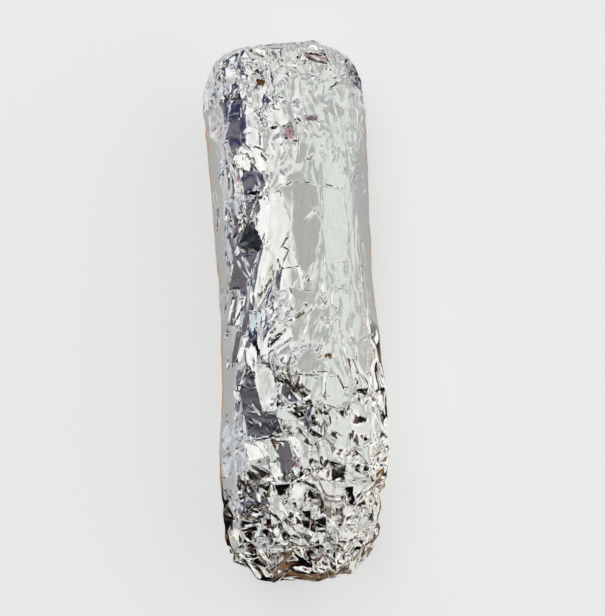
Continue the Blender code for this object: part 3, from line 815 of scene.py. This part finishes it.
    def outside(self, bm: bmesh.types.BMesh) -> list[bmesh.types.BMFace]:
        """The faces that the eye can see."""
        tag = bm.faces.layers.int["outer"]
        return [face for face in bm.faces if face[tag]]

    def round_way(self, s: float) -> Vector:
        """The direction outwards at an unrolled place."""
        return Vector((math.sin(s / self.girth_radius), 0.0, math.cos(s / self.girth_radius)))

    def outwards(self, point: Vector) -> Vector:
        """The direction outwards at a point."""
        return Vector((point.x, 0.0, point.z - self.middle_height * MM)).normalized()

    def tear_middle(self) -> Vector:
        """Where the tear is."""
        eye, ray = self.view.eye(), self.view.ray(self.tear)
        return eye + ray * ((self.tear_height * MM - eye.z) / ray.z)

    def clear(self, points: np.ndarray) -> np.ndarray:
        """Keeps folds off the tear.

        Args:
            points: Where to read it, one row each.

        Returns:
            0 at the tear's edge, up to 1 away from it.
        """
        middle = self.tear_middle()
        away = np.hypot(points[:, 0] - middle.x, points[:, 1] - middle.y)
        return ease(away, self.tear_clear[0] * MM, self.tear_clear[1] * MM)

    def round_tear(self, bm: bmesh.types.BMesh) -> None:
        """Opens the tear's ragged edge to nearly round.

        Args:
            bm: The jacket.
        """
        middle = self.tear_middle()
        radius = self.tear_radius * MM
        for vertex in bm.verts:
            off = Vector((vertex.co.x - middle.x, vertex.co.y - middle.y, 0.0))
            if vertex.co.z > self.middle_height * MM and 0 < off.length < radius:
                vertex.co += off.normalized() * (radius - off.length)

    def seen(self, skin: BVHTree, pixel: tuple[float, float]) -> Vector | None:
        """Finds the point of the foil that a pixel of the photograph shows."""
        return skin.ray_cast(self.view.eye(), self.view.ray(pixel))[0]

    def wrinkles(self, skin: BVHTree) -> list[tuple[list[Vector], Crease]]:
        """Draws the wrinkles of the fields.

        Args:
            skin: The foil's outside.

        Returns:
            The points that each runs through, and the crease, slightly bent, with ridges and valleys mixed.
        """
        rng = np.random.default_rng(self.seed)
        wrinkles = []
        for field in self.fields:
            for _ in range(field.count):
                middle = np.array(field.middle) + rng.uniform(-1, 1, 2) * field.reach
                heading = math.radians(field.heading + rng.uniform(-1, 1) * field.spread)
                half = 0.5 * field.length * rng.uniform(*self.lengths)
                along = np.array((math.sin(heading), math.cos(heading))) * half
                bend = np.array((along[1], -along[0])) * rng.uniform(-self.bend, self.bend)
                stops = []
                for s, y in (middle - along, middle + bend, middle + along):
                    start = Vector((0.0, y * MM, self.middle_height * MM))
                    way = self.round_way(s)
                    point = skin.ray_cast(start + way * (self.far * MM), -way)[0]
                    if point:
                        stops.append(point)
                fold = Fold.RIDGE if rng.uniform() < 0.5 else Fold.VALLEY
                width = field.width * rng.uniform(*self.widths)
                height = field.height * rng.uniform(*self.heights)
                if len(stops) == 3:
                    wrinkles.append((stops, Crease((), fold, width, height)))
        return wrinkles

    def cut(
        self, bm: bmesh.types.BMesh, faces: list[bmesh.types.BMFace], point: Vector, normal: Vector
    ) -> list[bmesh.types.BMFace]:
        """Cuts faces along a plane, so that a crease can run there.

        Args:
            bm: The jacket.
            faces: The faces.
            point: A point of the plane.
            normal: The plane's normal.

        Returns:
            The faces afterwards.
        """
        edges = {edge for face in faces for edge in face.edges}
        corners = {corner for face in faces for corner in face.verts}
        result = bmesh.ops.bisect_plane(
            bm, geom=[*faces, *edges, *corners], dist=self.snap * MM, plane_co=point, plane_no=normal
        )
        return [item for item in result["geom"] if isinstance(item, bmesh.types.BMFace)]

    def near_line(
        self, faces: list[bmesh.types.BMFace], start: Vector, end: Vector, reach: float
    ) -> list[bmesh.types.BMFace]:
        """Picks the faces whose middle is close to a line.

        Args:
            faces: Where to look.
            start: The line's start.
            end: The line's end.
            reach: How close.

        Returns:
            The faces.
        """
        run = end - start
        picked = []
        for face in faces:
            offset = face.calc_center_median() - start
            t = min(max(offset.dot(run) / run.length_squared, 0.0), 1.0)
            if (offset - run * t).length < reach:
                picked.append(face)
        return picked

    def fold_in(
        self,
        bm: bmesh.types.BMesh,
        cells: dict[int, set[bmesh.types.BMFace]],
        skin: BVHTree,
        stops: list[Vector],
        crease: Crease,
    ) -> None:
        """Folds a crease into the foil.

        Args:
            bm: The jacket.
            cells: The faces that each face of skin is cut into.
            skin: The foil's outside before any cut.
            stops: The points that the crease runs through.
            crease: The crease.
        """
        cell = bm.faces.layers.int["cell"]
        width = crease.width * MM
        reach = width + self.cut_reach * MM
        touched: set[bmesh.types.BMFace] = set()
        for start, end in zip(stops, stops[1:]):
            middle = (start + end) / 2
            span = (end - start).length / 2 + reach
            near = {number for _, _, number, _ in skin.find_nearest_range(middle, span)}
            faces = self.near_line([f for number in near for f in cells[number]], start, end, reach)
            across = self.outwards(middle).cross(end - start).normalized()
            for side in (0.0, -width, width):
                faces = self.cut(bm, faces, start + across * side, across)
            for face in faces:
                cells[face[cell]].add(face)
            touched.update(faces)
        corners = list({v for face in touched for v in face.verts})
        if corners:
            self.lift(corners, crease, stops)

    def lift(self, corners: list[bmesh.types.BMVert], crease: Crease, stops: list[Vector]) -> None:
        """Moves corners near a crease onto its flanks.

        Args:
            corners: The corners.
            crease: The crease.
            stops: The points of its route.
        """
        way = sum((self.outwards(stop) for stop in stops), Vector()).normalized()
        points = np.array([v.co for v in corners])
        nearest = np.full(len(points), np.inf)
        share = np.zeros(len(points))
        whole = sum((b - a).length for a, b in zip(stops, stops[1:]))
        gone = 0.0
        for start, end in zip(stops, stops[1:]):
            run = np.array(end - start)
            offset = points - np.array(start)
            t = np.clip(offset @ run / (run @ run), 0.0, 1.0)
            away = np.linalg.norm(np.cross(offset - t[:, None] * run, np.array(way)), axis=1)
            closer = away < nearest
            nearest[closer] = away[closer]
            share[closer] = (gone + t[closer] * np.linalg.norm(run)) / whole
            gone += np.linalg.norm(run)
        rise = np.clip(np.minimum(share, 1 - share) / self.fade, 0.0, 1.0)
        rise *= np.clip(1 - nearest / (crease.width * MM), 0.0, 1.0)
        rise *= crease.fold.value * crease.height * MM * self.clear(points)
        for corner, height in zip(corners, rise):
            corner.co += way * height

    def flatten(
        self, bm: bmesh.types.BMesh, cells: dict[int, set[bmesh.types.BMFace]], skin: BVHTree, facet: Facet
    ) -> None:
        """Presses a patch of the foil flat.

        Args:
            bm: The jacket.
            cells: The faces that each face of skin is cut into.
            skin: The foil's outside before any cut.
            facet: The patch.
        """
        cell = bm.faces.layers.int["cell"]
        rim = [point for point in (self.seen(skin, pixel) for pixel in facet.outline) if point]
        if len(rim) < 3:
            return
        middle = sum(rim, Vector()) / len(rim)
        way = self.outwards(middle)
        turn = (rim[1] - rim[0]).cross(rim[2] - rim[1]).dot(way)
        span = max((point - middle).length for point in rim) + self.facet_search * MM
        near = {number for _, _, number, _ in skin.find_nearest_range(middle, span)}
        faces = [f for number in near for f in cells[number] if f.normal.dot(way) > 0.0]
        sides = []
        for start, end in zip(rim, [*rim[1:], rim[0]]):
            out = (end - start).cross(way).normalized() * (1.0 if turn > 0 else -1.0)
            sides.append((start, out))
            close = self.near_line(faces, start, end, self.facet_cut_reach * MM)
            apart = [f for f in faces if f not in set(close)]
            for offset in (0.0, self.facet_rim * MM):
                close = self.cut(bm, close, start + out * offset, out)
            faces = apart + close
        for face in faces:
            cells[face[cell]].add(face)
        corners = list({v for face in faces for v in face.verts})
        points = np.array([v.co for v in corners])
        beyond = np.max([(points - np.array(start)) @ np.array(out) for start, out in sides], axis=0)
        share = np.clip(1 - beyond / (self.facet_rim * MM), 0.0, 1.0)
        lean, pitch = (math.radians(angle) for angle in facet.facing.value)
        normal = Vector((math.tan(lean), math.tan(pitch), 1.0)).normalized()
        level = middle - way * facet.depth * MM
        inside = points[beyond < self.snap * MM]
        if len(inside):
            # The plane passes through the middle of what the patch covers.
            level += way * float(np.mean((inside - np.array(middle)) @ np.array(way)))
        climb = (np.array(level) - points) @ np.array(normal) / max(normal.dot(way), self.steepest)
        climb = np.clip(climb, -self.facet_reach * MM, self.facet_reach * MM)
        climb *= share * facet.flatness * self.clear(points)
        for corner, height in zip(corners, climb):
            corner.co += way * height

    def fold_all(self, bm: bmesh.types.BMesh) -> None:
        """Presses in every placed facet and crease, and the fields' wrinkles.

        Args:
            bm: The jacket.
        """
        bm.normal_update()
        skin = BVHTree.FromBMesh(bm)
        cell = bm.faces.layers.int.new("cell")
        cells = {}
        for number, face in enumerate(bm.faces):
            face[cell] = number
            cells[number] = {face}
        for stops, crease in self.wrinkles(skin):
            self.fold_in(bm, cells, skin, stops, crease)
        for patch in Patch:
            bm.normal_update()
            self.flatten(bm, cells, skin, patch.value)
        for crease in (wrinkle.value for wrinkle in Wrinkle):
            stops = [point for point in (self.seen(skin, pixel) for pixel in crease.route) if point]
            if len(stops) > 1:
                self.fold_in(bm, cells, skin, stops, crease)

    def ends(self, middle: bmesh.types.BMVert, old: int) -> tuple[int, int]:
        """Finds the corners that a new corner lies halfway between.

        Args:
            middle: The new corner.
            old: How many corners the mesh had before.

        Returns:
            The numbers of the two corners.
        """
        near = [e.other_vert(middle) for e in middle.link_edges if e.other_vert(middle).index < old]
        first, second = min(
            combinations(near, 2), key=lambda pair: ((pair[0].co + pair[1].co) / 2 - middle.co).length
        )
        return first.index, second.index

    def edge_normals(self, bm: bmesh.types.BMesh) -> dict[tuple[int, int], np.ndarray]:
        """Works out the smooth normals at both ends of each edge, which don't reach past a hard crease.

        Args:
            bm: The jacket.

        Returns:
            For each edge's pair of corner numbers, the normals at the two, or zeros on a crease.
        """
        mesh = bpy.data.meshes.new("shading")
        bm.to_mesh(mesh)
        mesh.shade_smooth()
        mesh.set_sharp_from_angle(angle=math.radians(self.hard_angle))
        normals = np.array([n.vector for n in mesh.corner_normals])
        bpy.data.meshes.remove(mesh)
        found = {}
        number = 0
        for face in bm.faces:
            loops = range(number, number + len(face.loops))
            for loop, this, following in zip(face.loops, loops, [*loops[1:], loops[0]]):
                first, second = loop.vert.index, loop.link_loop_next.vert.index
                pair = np.array((normals[this], normals[following]))
                if first > second:
                    first, second, pair = second, first, pair[::-1]
                crease = loop.edge.calc_face_angle(0.0) > math.radians(self.hard_angle)
                found[first, second] = pair * 0.0 if crease else pair
            number += len(face.loops)
        return found

    def split(self, bm: bmesh.types.BMesh, kink: float, finest: float) -> None:
        """Splits the outer faces in four. A taut one takes on the roll's curve, a crumpled one is kinked.

        Args:
            bm: The jacket.
            kink: How far, in mm, a few new corners are pushed in or out where the foil is most crumpled.
            finest: Edges shorter than this, in mm, aren't split.
        """
        bm.normal_update()
        bm.verts.index_update()
        old = len(bm.verts)
        points = np.array([v.co for v in bm.verts])
        normals = np.array([v.normal for v in bm.verts])
        smooth = self.edge_normals(bm)
        edges = list({e for f in self.outside(bm) for e in f.edges if e.calc_length() > finest * MM})
        bmesh.ops.subdivide_edges(bm, edges=edges, cuts=1, use_grid_fill=True)
        bm.verts.index_update()
        fresh = list(bm.verts)[old:]
        ends = np.array([sorted(self.ends(vertex, old)) for vertex in fresh])
        middle = (points[ends[:, 0]] + points[ends[:, 1]]) / 2
        rough = self.roughness(middle)
        along = np.array([smooth.get(tuple(pair), np.zeros((2, 3))) for pair in ends])
        move = np.zeros_like(middle)
        for end, normal in zip(ends.T, (along[:, 0], along[:, 1])):
            rise = np.sum((middle - points[end]) * normal, axis=1)
            move -= 0.5 * self.curve * (rise * (1 - self.stiffness * rough))[:, None] * normal
        way = normals[ends[:, 0]] + normals[ends[:, 1]]
        way /= np.maximum(np.linalg.norm(way, axis=1), 1e-9)[:, None]
        chance = np.random.default_rng(old).uniform(-1.0, 1.0, len(fresh))
        push = chance**self.kink_rarity * kink * MM * rough
        for vertex, place in zip(fresh, middle + move + way * push[:, None]):
            vertex.co = place

    def build(self, finish: RolledFoil) -> bpy.types.Object:
        """Makes the jacket.

        Args:
            finish: What the foil is made of.

        Returns:
            The jacket's object.
        """
        bm = self.copy_of_solid()
        self.tag_outside(bm)
        self.split(bm, self.kink, 0.0)
        self.fold_all(bm)
        bm = self.renumbered(bm)
        self.split(bm, 0.0, self.finest)
        self.round_tear(bm)
        for vertex in bm.verts:
            vertex.co.z = max(vertex.co.z, 0.0)
        layer = bm.verts.layers.float.new("crumple")
        every = list(bm.verts)
        for vertex, rough in zip(every, self.roughness(np.array([v.co for v in every]))):
            vertex[layer] = rough
        bm.normal_update()
        for edge in bm.edges:
            limit = self.taut_angle + (self.crumpled_angle - self.taut_angle) * edge.verts[0][layer]
            edge.smooth = edge.calc_face_angle(0.0) < math.radians(limit)
        mesh = bpy.data.meshes.new("foil")
        for face in bm.faces:
            face.smooth = True
        bm.to_mesh(mesh)
        bm.free()
        piece = bpy.data.objects.new("foil_jacket", mesh)
        bpy.context.scene.collection.objects.link(piece)
        mesh.materials.append(finish.build())
        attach(piece, "root")
        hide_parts(self.node)
        return piece

    def roughness(self, points: np.ndarray) -> np.ndarray:
        """How crumpled the foil is.

        Args:
            points: Where to read it, one row each.

        Returns:
            1 where it is most crumpled, towards 0 where it is taut.
        """
        share = points[:, 1] / (self.length * MM) + 0.5
        side = np.clip(points[:, 0], -self.scrunch_across * MM, self.scrunch_across * MM)
        scrunched = ease(share - self.scrunch_slant * side, *self.scrunch_from)
        folded = self.folded_crumple * ease(share, *self.folded_from)
        return self.least_crumple + (1 - self.least_crumple) * np.minimum(scrunched + folded, 1.0)


@dataclass(frozen=True)
class TortillaRoll:
    """The rolled tortilla in the jacket, which shows only through the tear."""

    node: str = "tortilla_roll"

    def build(self, finish: ToastedTortilla) -> bpy.types.Object:
        """Dresses the roll, which keeps the shape of its solid.

        Args:
            finish: What it is made of.

        Returns:
            The roll's object.
        """
        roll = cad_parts[self.node]
        roll.data.materials.clear()
        roll.data.materials.append(finish.build())
        return roll


class Guide(Enum):
    """What picks a region's colour from its hues."""

    RISE = "rise"
    CHANCE = "chance"
    PALER_CHANCE = "paler chance"


@dataclass(frozen=True)
class Region:
    """A part of the room that the foil mirrors, with soft edges.

    Its four leans, in degrees from straight up towards +X, say where it starts to show, shows in full,
    starts to fade and is gone. Its four rises, from -1 to 1 towards +Y, do the same.
    """

    lean: tuple[float, float, float, float]
    rise: tuple[float, float, float, float]
    hues: tuple[tuple[float, str], ...]
    guide: Guide = Guide.RISE


@dataclass(frozen=True)
class Surroundings:
    """What the foil mirrors: bright and dark bands across the room, with patches in front and behind.

    The colours are as they show in the foil.
    """

    foil_share: float = FOIL_SHARE
    patch_scale: float = 4.5  # patches for each radian
    drift: tuple[float, float, float] = (0.2, 0.35, 0.2)  # how far the room's edges wander
    drift_scale: float = 3.0
    cloud_scale: float = 9.0
    cloud_low: float = 0.3  # the clouds' noise stays between these two
    cloud_high: float = 0.7
    dimmest: float = 0.84  # the room's soft unevenness
    brightest: float = 1.06
    paler_by: float = 0.28  # how much paler the patches in front turn towards +X
    paler_lean: float = 50.0  # degrees at which they are palest
    soft_light: str = "#8C8C8C"
    backdrop: str = "#E6E6E6"
    bands: tuple[tuple[float, str], ...] = (
        (-120.0, "#9A9A9E"),
        (-106.0, "#A09C9E"),
        (-100.0, "#C9BDB8"),
        (-95.0, "#DEE7EE"),
        (-88.0, "#DEE7EE"),
        (-84.0, "#A2A3A6"),
        (-76.0, "#94949A"),
        (-71.0, "#606070"),
        (-49.0, "#585864"),
        (-43.0, "#F1F2F2"),
        (-28.0, "#FFFFFD"),
        (-10.0, "#EAEBE8"),
        (2.0, "#B9BBB8"),
        (10.0, "#AEB0AC"),
        (20.0, "#B9BCB8"),
        (33.0, "#DADFDB"),
        (62.0, "#E0E5E1"),
        (82.0, "#D6DAD6"),
        (92.0, "#A6A8A5"),
        (108.0, "#A6A4A0"),
        (120.0, "#B4AEA6"),
    )
    regions: tuple[Region, ...] = (
        # The dark side of the room, over the -X side of the wrap.
        Region(
            (-78, -70, -48, -43), (-1, -1, 1, 1),
            ((-0.05, "#0C1114"), (0.06, "#1E282B"), (0.14, "#625E64"), (0.30, "#7C777E"),
             (0.37, "#54546C"), (0.45, "#343452"), (0.75, "#1C1B3C")),
        ),
        # Cream walls under and over the grey that hangs overhead.
        Region((-12, -2, 40, 70), (-1, -1, -0.06, 0.06), ((0, "#EFEDE6"),)),
        Region((-12, -2, 26, 40), (0.40, 0.50, 1, 1), ((0, "#EDEEEA"),)),
        # Grey walls behind, on either side.
        Region((30, 42, 180, 180), (0.42, 0.54, 1, 1), ((0, "#A4A6A4"),)),
        Region((-44, -38, -16, -8), (0.40, 0.54, 1, 1), ((0, "#9C9DA0"),)),
        # Broken patches in front of the wrap.
        Region(
            (-180, -180, 180, 180), (-1, -1, -0.24, -0.14),
            ((0.00, "#040406"), (0.32, "#0C0D12"), (0.36, "#2C2018"), (0.40, "#8A6C4C"), (0.44, "#6C5058"),
             (0.49, "#1A1A30"), (0.55, "#6E6E72"), (0.62, "#BEBAB2"), (0.68, "#EFECE2"), (1.00, "#FFFFFB")),
            Guide.PALER_CHANCE,
        ),
        Region((-50, -42, 34, 44), (-0.88, -0.82, -0.60, -0.52), ((0, "#07080B"),)),
        Region((29, 32, 38, 41), (-0.41, -0.38, -0.33, -0.30), ((0, "#9C8054"),)),
        # Patches behind it.
        Region(
            (-180, -180, 180, 180), (0.55, 0.75, 1, 1),
            ((0.00, "#2E2E44"), (0.08, "#4E5058"), (0.20, "#8A8C8E"), (0.32, "#A8AAAA"), (0.50, "#D2D4D2"),
             (0.70, "#ECEEEC"), (1.00, "#FCFDFC")),
            Guide.CHANCE,
        ),
        Region((-2, 2, 14, 18), (0.66, 0.69, 0.75, 0.78), ((0, "#B28C92"),)),
        # Daylight far out on the -X side.
        Region((-180, -180, -78, -72), (0.42, 0.50, 1, 1), ((0, "#DDEBF2"),)),
    )

    def mask(
        self,
        tree: bpy.types.NodeTree,
        lean: bpy.types.NodeSocket,
        rise: bpy.types.NodeSocket,
        region: Region,
    ) -> bpy.types.NodeSocket:
        """Works out where a region shows.

        Args:
            tree: The world's node tree.
            lean: The direction's lean, as a share of a half turn to either side.
            rise: Its rise, from 0 to 1.
            region: The region.

        Returns:
            The socket of a share, 1 where the region shows.
        """
        shares = []
        for way, places, widest in ((lean, region.lean, 180.0), (rise, region.rise, 1.0)):
            ends = [place / widest / 2 + 0.5 for place in places]
            stops = list(zip(ends, ("#000000", "#FFFFFF", "#FFFFFF", "#000000")))
            if places[0] == -widest:
                stops = stops[1:]
            if places[3] == widest:
                stops = stops[:-1]
            shares.append(
                add_node(tree, "ShaderNodeValToRGB", stops=tuple(stops), fac=way).outputs["Color"]
            )
        return add_node(
            tree, "ShaderNodeMath", {"operation": "MULTIPLY"}, in0=shares[0], in1=shares[1]
        ).outputs["Value"]

    def colour(self, tree: bpy.types.NodeTree) -> bpy.types.NodeSocket:
        """Works out the colour in each direction.

        Args:
            tree: The world's node tree.

        Returns:
            The colour's socket.
        """
        way = add_node(tree, "ShaderNodeTexCoord").outputs["Generated"]
        stir = add_node(
            tree, "ShaderNodeTexNoise", vector=way, scale=self.drift_scale, detail=3.0, roughness=0.6
        ).outputs["Color"]
        centred = add_node(
            tree, "ShaderNodeVectorMath", {"operation": "SUBTRACT"}, in0=stir, in1=(0.5, 0.5, 0.5)
        ).outputs["Vector"]
        stirred = add_node(
            tree, "ShaderNodeVectorMath", {"operation": "MULTIPLY_ADD"}, in0=centred, in1=self.drift, in2=way
        ).outputs["Vector"]
        parts = add_node(tree, "ShaderNodeSeparateXYZ", vector=stirred).outputs
        angle = add_node(
            tree, "ShaderNodeMath", {"operation": "ARCTAN2"}, in0=parts["X"], in1=parts["Z"]
        ).outputs["Value"]
        lean = add_node(
            tree, "ShaderNodeMapRange", value=angle, from_min=-math.pi, from_max=math.pi
        ).outputs["Result"]
        rise = add_node(
            tree, "ShaderNodeMapRange", value=parts["Y"], from_min=-1.0, from_max=1.0
        ).outputs["Result"]
        cells = add_node(
            tree, "ShaderNodeTexVoronoi", vector=stirred, scale=self.patch_scale
        ).outputs["Color"]
        chance = add_node(tree, "ShaderNodeSeparateColor", color=cells).outputs["Red"]
        paler = add_node(
            tree, "ShaderNodeMapRange", {"interpolation_type": "SMOOTHSTEP"}, value=angle,
            from_min=0.0, from_max=math.radians(self.paler_lean), to_max=self.paler_by,
        ).outputs["Result"]
        raised = add_node(tree, "ShaderNodeMath", in0=chance, in1=paler).outputs["Value"]
        guides = {Guide.RISE: rise, Guide.CHANCE: chance, Guide.PALER_CHANCE: raised}
        bands = tuple((degrees / 360 + 0.5, hue) for degrees, hue in self.bands)
        colour = add_node(tree, "ShaderNodeValToRGB", stops=bands, fac=lean).outputs["Color"]
        for region in self.regions:
            hues = region.hues
            if region.guide is Guide.RISE:
                hues = tuple((place / 2 + 0.5, hue) for place, hue in hues)
            if len(hues) == 1:
                hues = (*hues, (1.0, hues[0][1]))
            own = add_node(tree, "ShaderNodeValToRGB", stops=hues, fac=guides[region.guide]).outputs["Color"]
            share = self.mask(tree, lean, rise, region)
            colour = add_node(
                tree, "ShaderNodeMix", {"data_type": "RGBA"}, factor=share, in6=colour, in7=own
            ).outputs[2]
        cloud = add_node(
            tree, "ShaderNodeTexNoise", vector=way, scale=self.cloud_scale, detail=3.0, roughness=0.6
        ).outputs["Fac"]
        tone = add_node(
            tree, "ShaderNodeMapRange", value=cloud,
            from_min=self.cloud_low, from_max=self.cloud_high, to_min=self.dimmest, to_max=self.brightest,
        ).outputs["Result"]
        return add_node(
            tree, "ShaderNodeVectorMath", {"operation": "SCALE"}, in0=colour, scale=tone
        ).outputs["Vector"]

    def build(self) -> None:
        """Makes the world: this for the foil's reflections, and plain pale light for the rest."""
        world = bpy.data.worlds.new("studio")
        bpy.context.scene.world = world
        world.use_nodes = True
        tree = world.node_tree
        tree.nodes.clear()
        path = add_node(tree, "ShaderNodeLightPath").outputs
        mirrored = add_node(
            tree, "ShaderNodeBackground", color=self.colour(tree), strength=1.0 / self.foil_share
        )
        soft = add_node(tree, "ShaderNodeBackground", color=linear(self.soft_light))
        pale = add_node(tree, "ShaderNodeBackground", color=linear(self.backdrop))
        light = add_node(
            tree, "ShaderNodeMixShader",
            in0=path["Is Glossy Ray"], in1=soft.outputs["Background"], in2=mirrored.outputs["Background"],
        )
        seen = add_node(
            tree, "ShaderNodeMixShader",
            in0=path["Is Camera Ray"], in1=light.outputs["Shader"], in2=pale.outputs["Background"],
        )
        add_node(tree, "ShaderNodeOutputWorld", surface=seen.outputs["Shader"])


class Tint(Enum):
    """The colour of a lamp's light."""

    WHITE = "#FFFFFF"
    PALE_GREEN = "#F9FFFA"


@dataclass(frozen=True)
class Softbox:
    """A large soft light over the wrap, which lights the floor and the tortilla; the foil doesn't mirror it.
    """

    name: str
    lean: float  # degrees from straight up towards +X
    swing: float  # degrees from straight up towards +Y
    distance: float
    width: float
    length: float
    brightness: float  # as it shows in a mirror: 1 is the render's white
    tint: Tint = Tint.WHITE

    def build(self) -> bpy.types.Object:
        """Makes the light.

        Returns:
            The light's object.
        """
        lamp = bpy.data.lights.new(self.name, "AREA")
        lamp.shape = "RECTANGLE"
        lamp.size = self.width
        lamp.size_y = self.length
        lamp.color = linear(self.tint.value)[:3]
        # A lamp's watts spread over its area and over half of all directions.
        lamp.energy = self.brightness * math.pi * self.width * self.length
        box = bpy.data.objects.new(self.name, lamp)
        bpy.context.scene.collection.objects.link(box)
        lean, swing = math.radians(self.lean), math.radians(self.swing)
        away = Vector((math.tan(lean), math.tan(swing), 1.0)).normalized()
        along = (Vector((0.0, 1.0, 0.0)) - away * away.y).normalized()
        box.location = away * self.distance
        box.rotation_mode = "QUATERNION"
        box.rotation_quaternion = Matrix((along.cross(away), along, away)).transposed().to_quaternion()
        box.visible_camera = False
        box.visible_glossy = False
        return box


@dataclass
class Studio:
    """The floor, the lights and the camera."""

    floor_size: float = 20.0
    table_height: float = 0.0001  # just clear of the floor
    lights: tuple[Softbox, ...] = (
        Softbox("key_softbox", -19, 12, 1.0, 0.60, 1.3, 0.7),
        Softbox("fill_panel", 58, 8, 1.2, 1.40, 2.6, 0.4, Tint.PALE_GREEN),
    )

    def plane(self, name: str, height: float, finish: FloorPaper | MirroredTable) -> bpy.types.Object:
        """Makes a level sheet for the stage.

        Args:
            name: Its name.
            height: How high it lies.
            finish: What it is made of.

        Returns:
            Its object.
        """
        bm = bmesh.new()
        bmesh.ops.create_grid(bm, x_segments=1, y_segments=1, size=self.floor_size / 2)
        bmesh.ops.translate(bm, verts=bm.verts, vec=(0.0, 0.0, height))
        mesh = bpy.data.meshes.new(name)
        bm.to_mesh(mesh)
        bm.free()
        mesh.materials.append(finish.build())
        plane = bpy.data.objects.new(name, mesh)
        bpy.context.scene.collection.objects.link(plane)
        return plane

    def floor(self) -> None:
        """Makes the floor that shows, and the glowing sheet with its painted shadow that only the foil
        reflects.
        """
        floor = self.plane("floor", 0.0, FloorPaper())
        floor.visible_glossy = False
        card = self.plane("mirrored_table", self.table_height, MirroredTable())
        card.visible_camera = False
        card.visible_diffuse = False
        card.visible_shadow = False

    def camera(self) -> bpy.types.Object:
        """Makes the camera at the photo's viewing angle.

        Returns:
            The camera's object.
        """
        view = PhotoView()
        lens = bpy.data.cameras.new("camera")
        lens.sensor_width = view.sensor_mm
        lens.lens = view.lens_mm
        lens.clip_start = 0.01
        lens.clip_end = 100.0
        camera = bpy.data.objects.new("camera", lens)
        bpy.context.scene.collection.objects.link(camera)
        camera.location = view.eye()
        camera.rotation_mode = "QUATERNION"
        camera.rotation_quaternion = (-view.axes()[2]).to_track_quat("-Z", "Y")
        bpy.context.scene.camera = camera
        return camera

    def build(self) -> None:
        """Makes the whole studio."""
        self.floor()
        Surroundings().build()
        for light in self.lights:
            light.build()
        self.camera()
        bpy.context.scene.view_settings.view_transform = "Standard"


def main() -> None:
    """Builds the wrap and its studio."""
    logging.basicConfig(level=logging.INFO)
    jacket = FoilWrap().build(RolledFoil())
    roll = TortillaRoll().build(ToastedTortilla())
    for piece in (jacket, roll):
        LOG.info("built %s: %d faces", piece.name, len(piece.data.polygons))
    Studio().build()


if __name__ == "__main__":
    main()
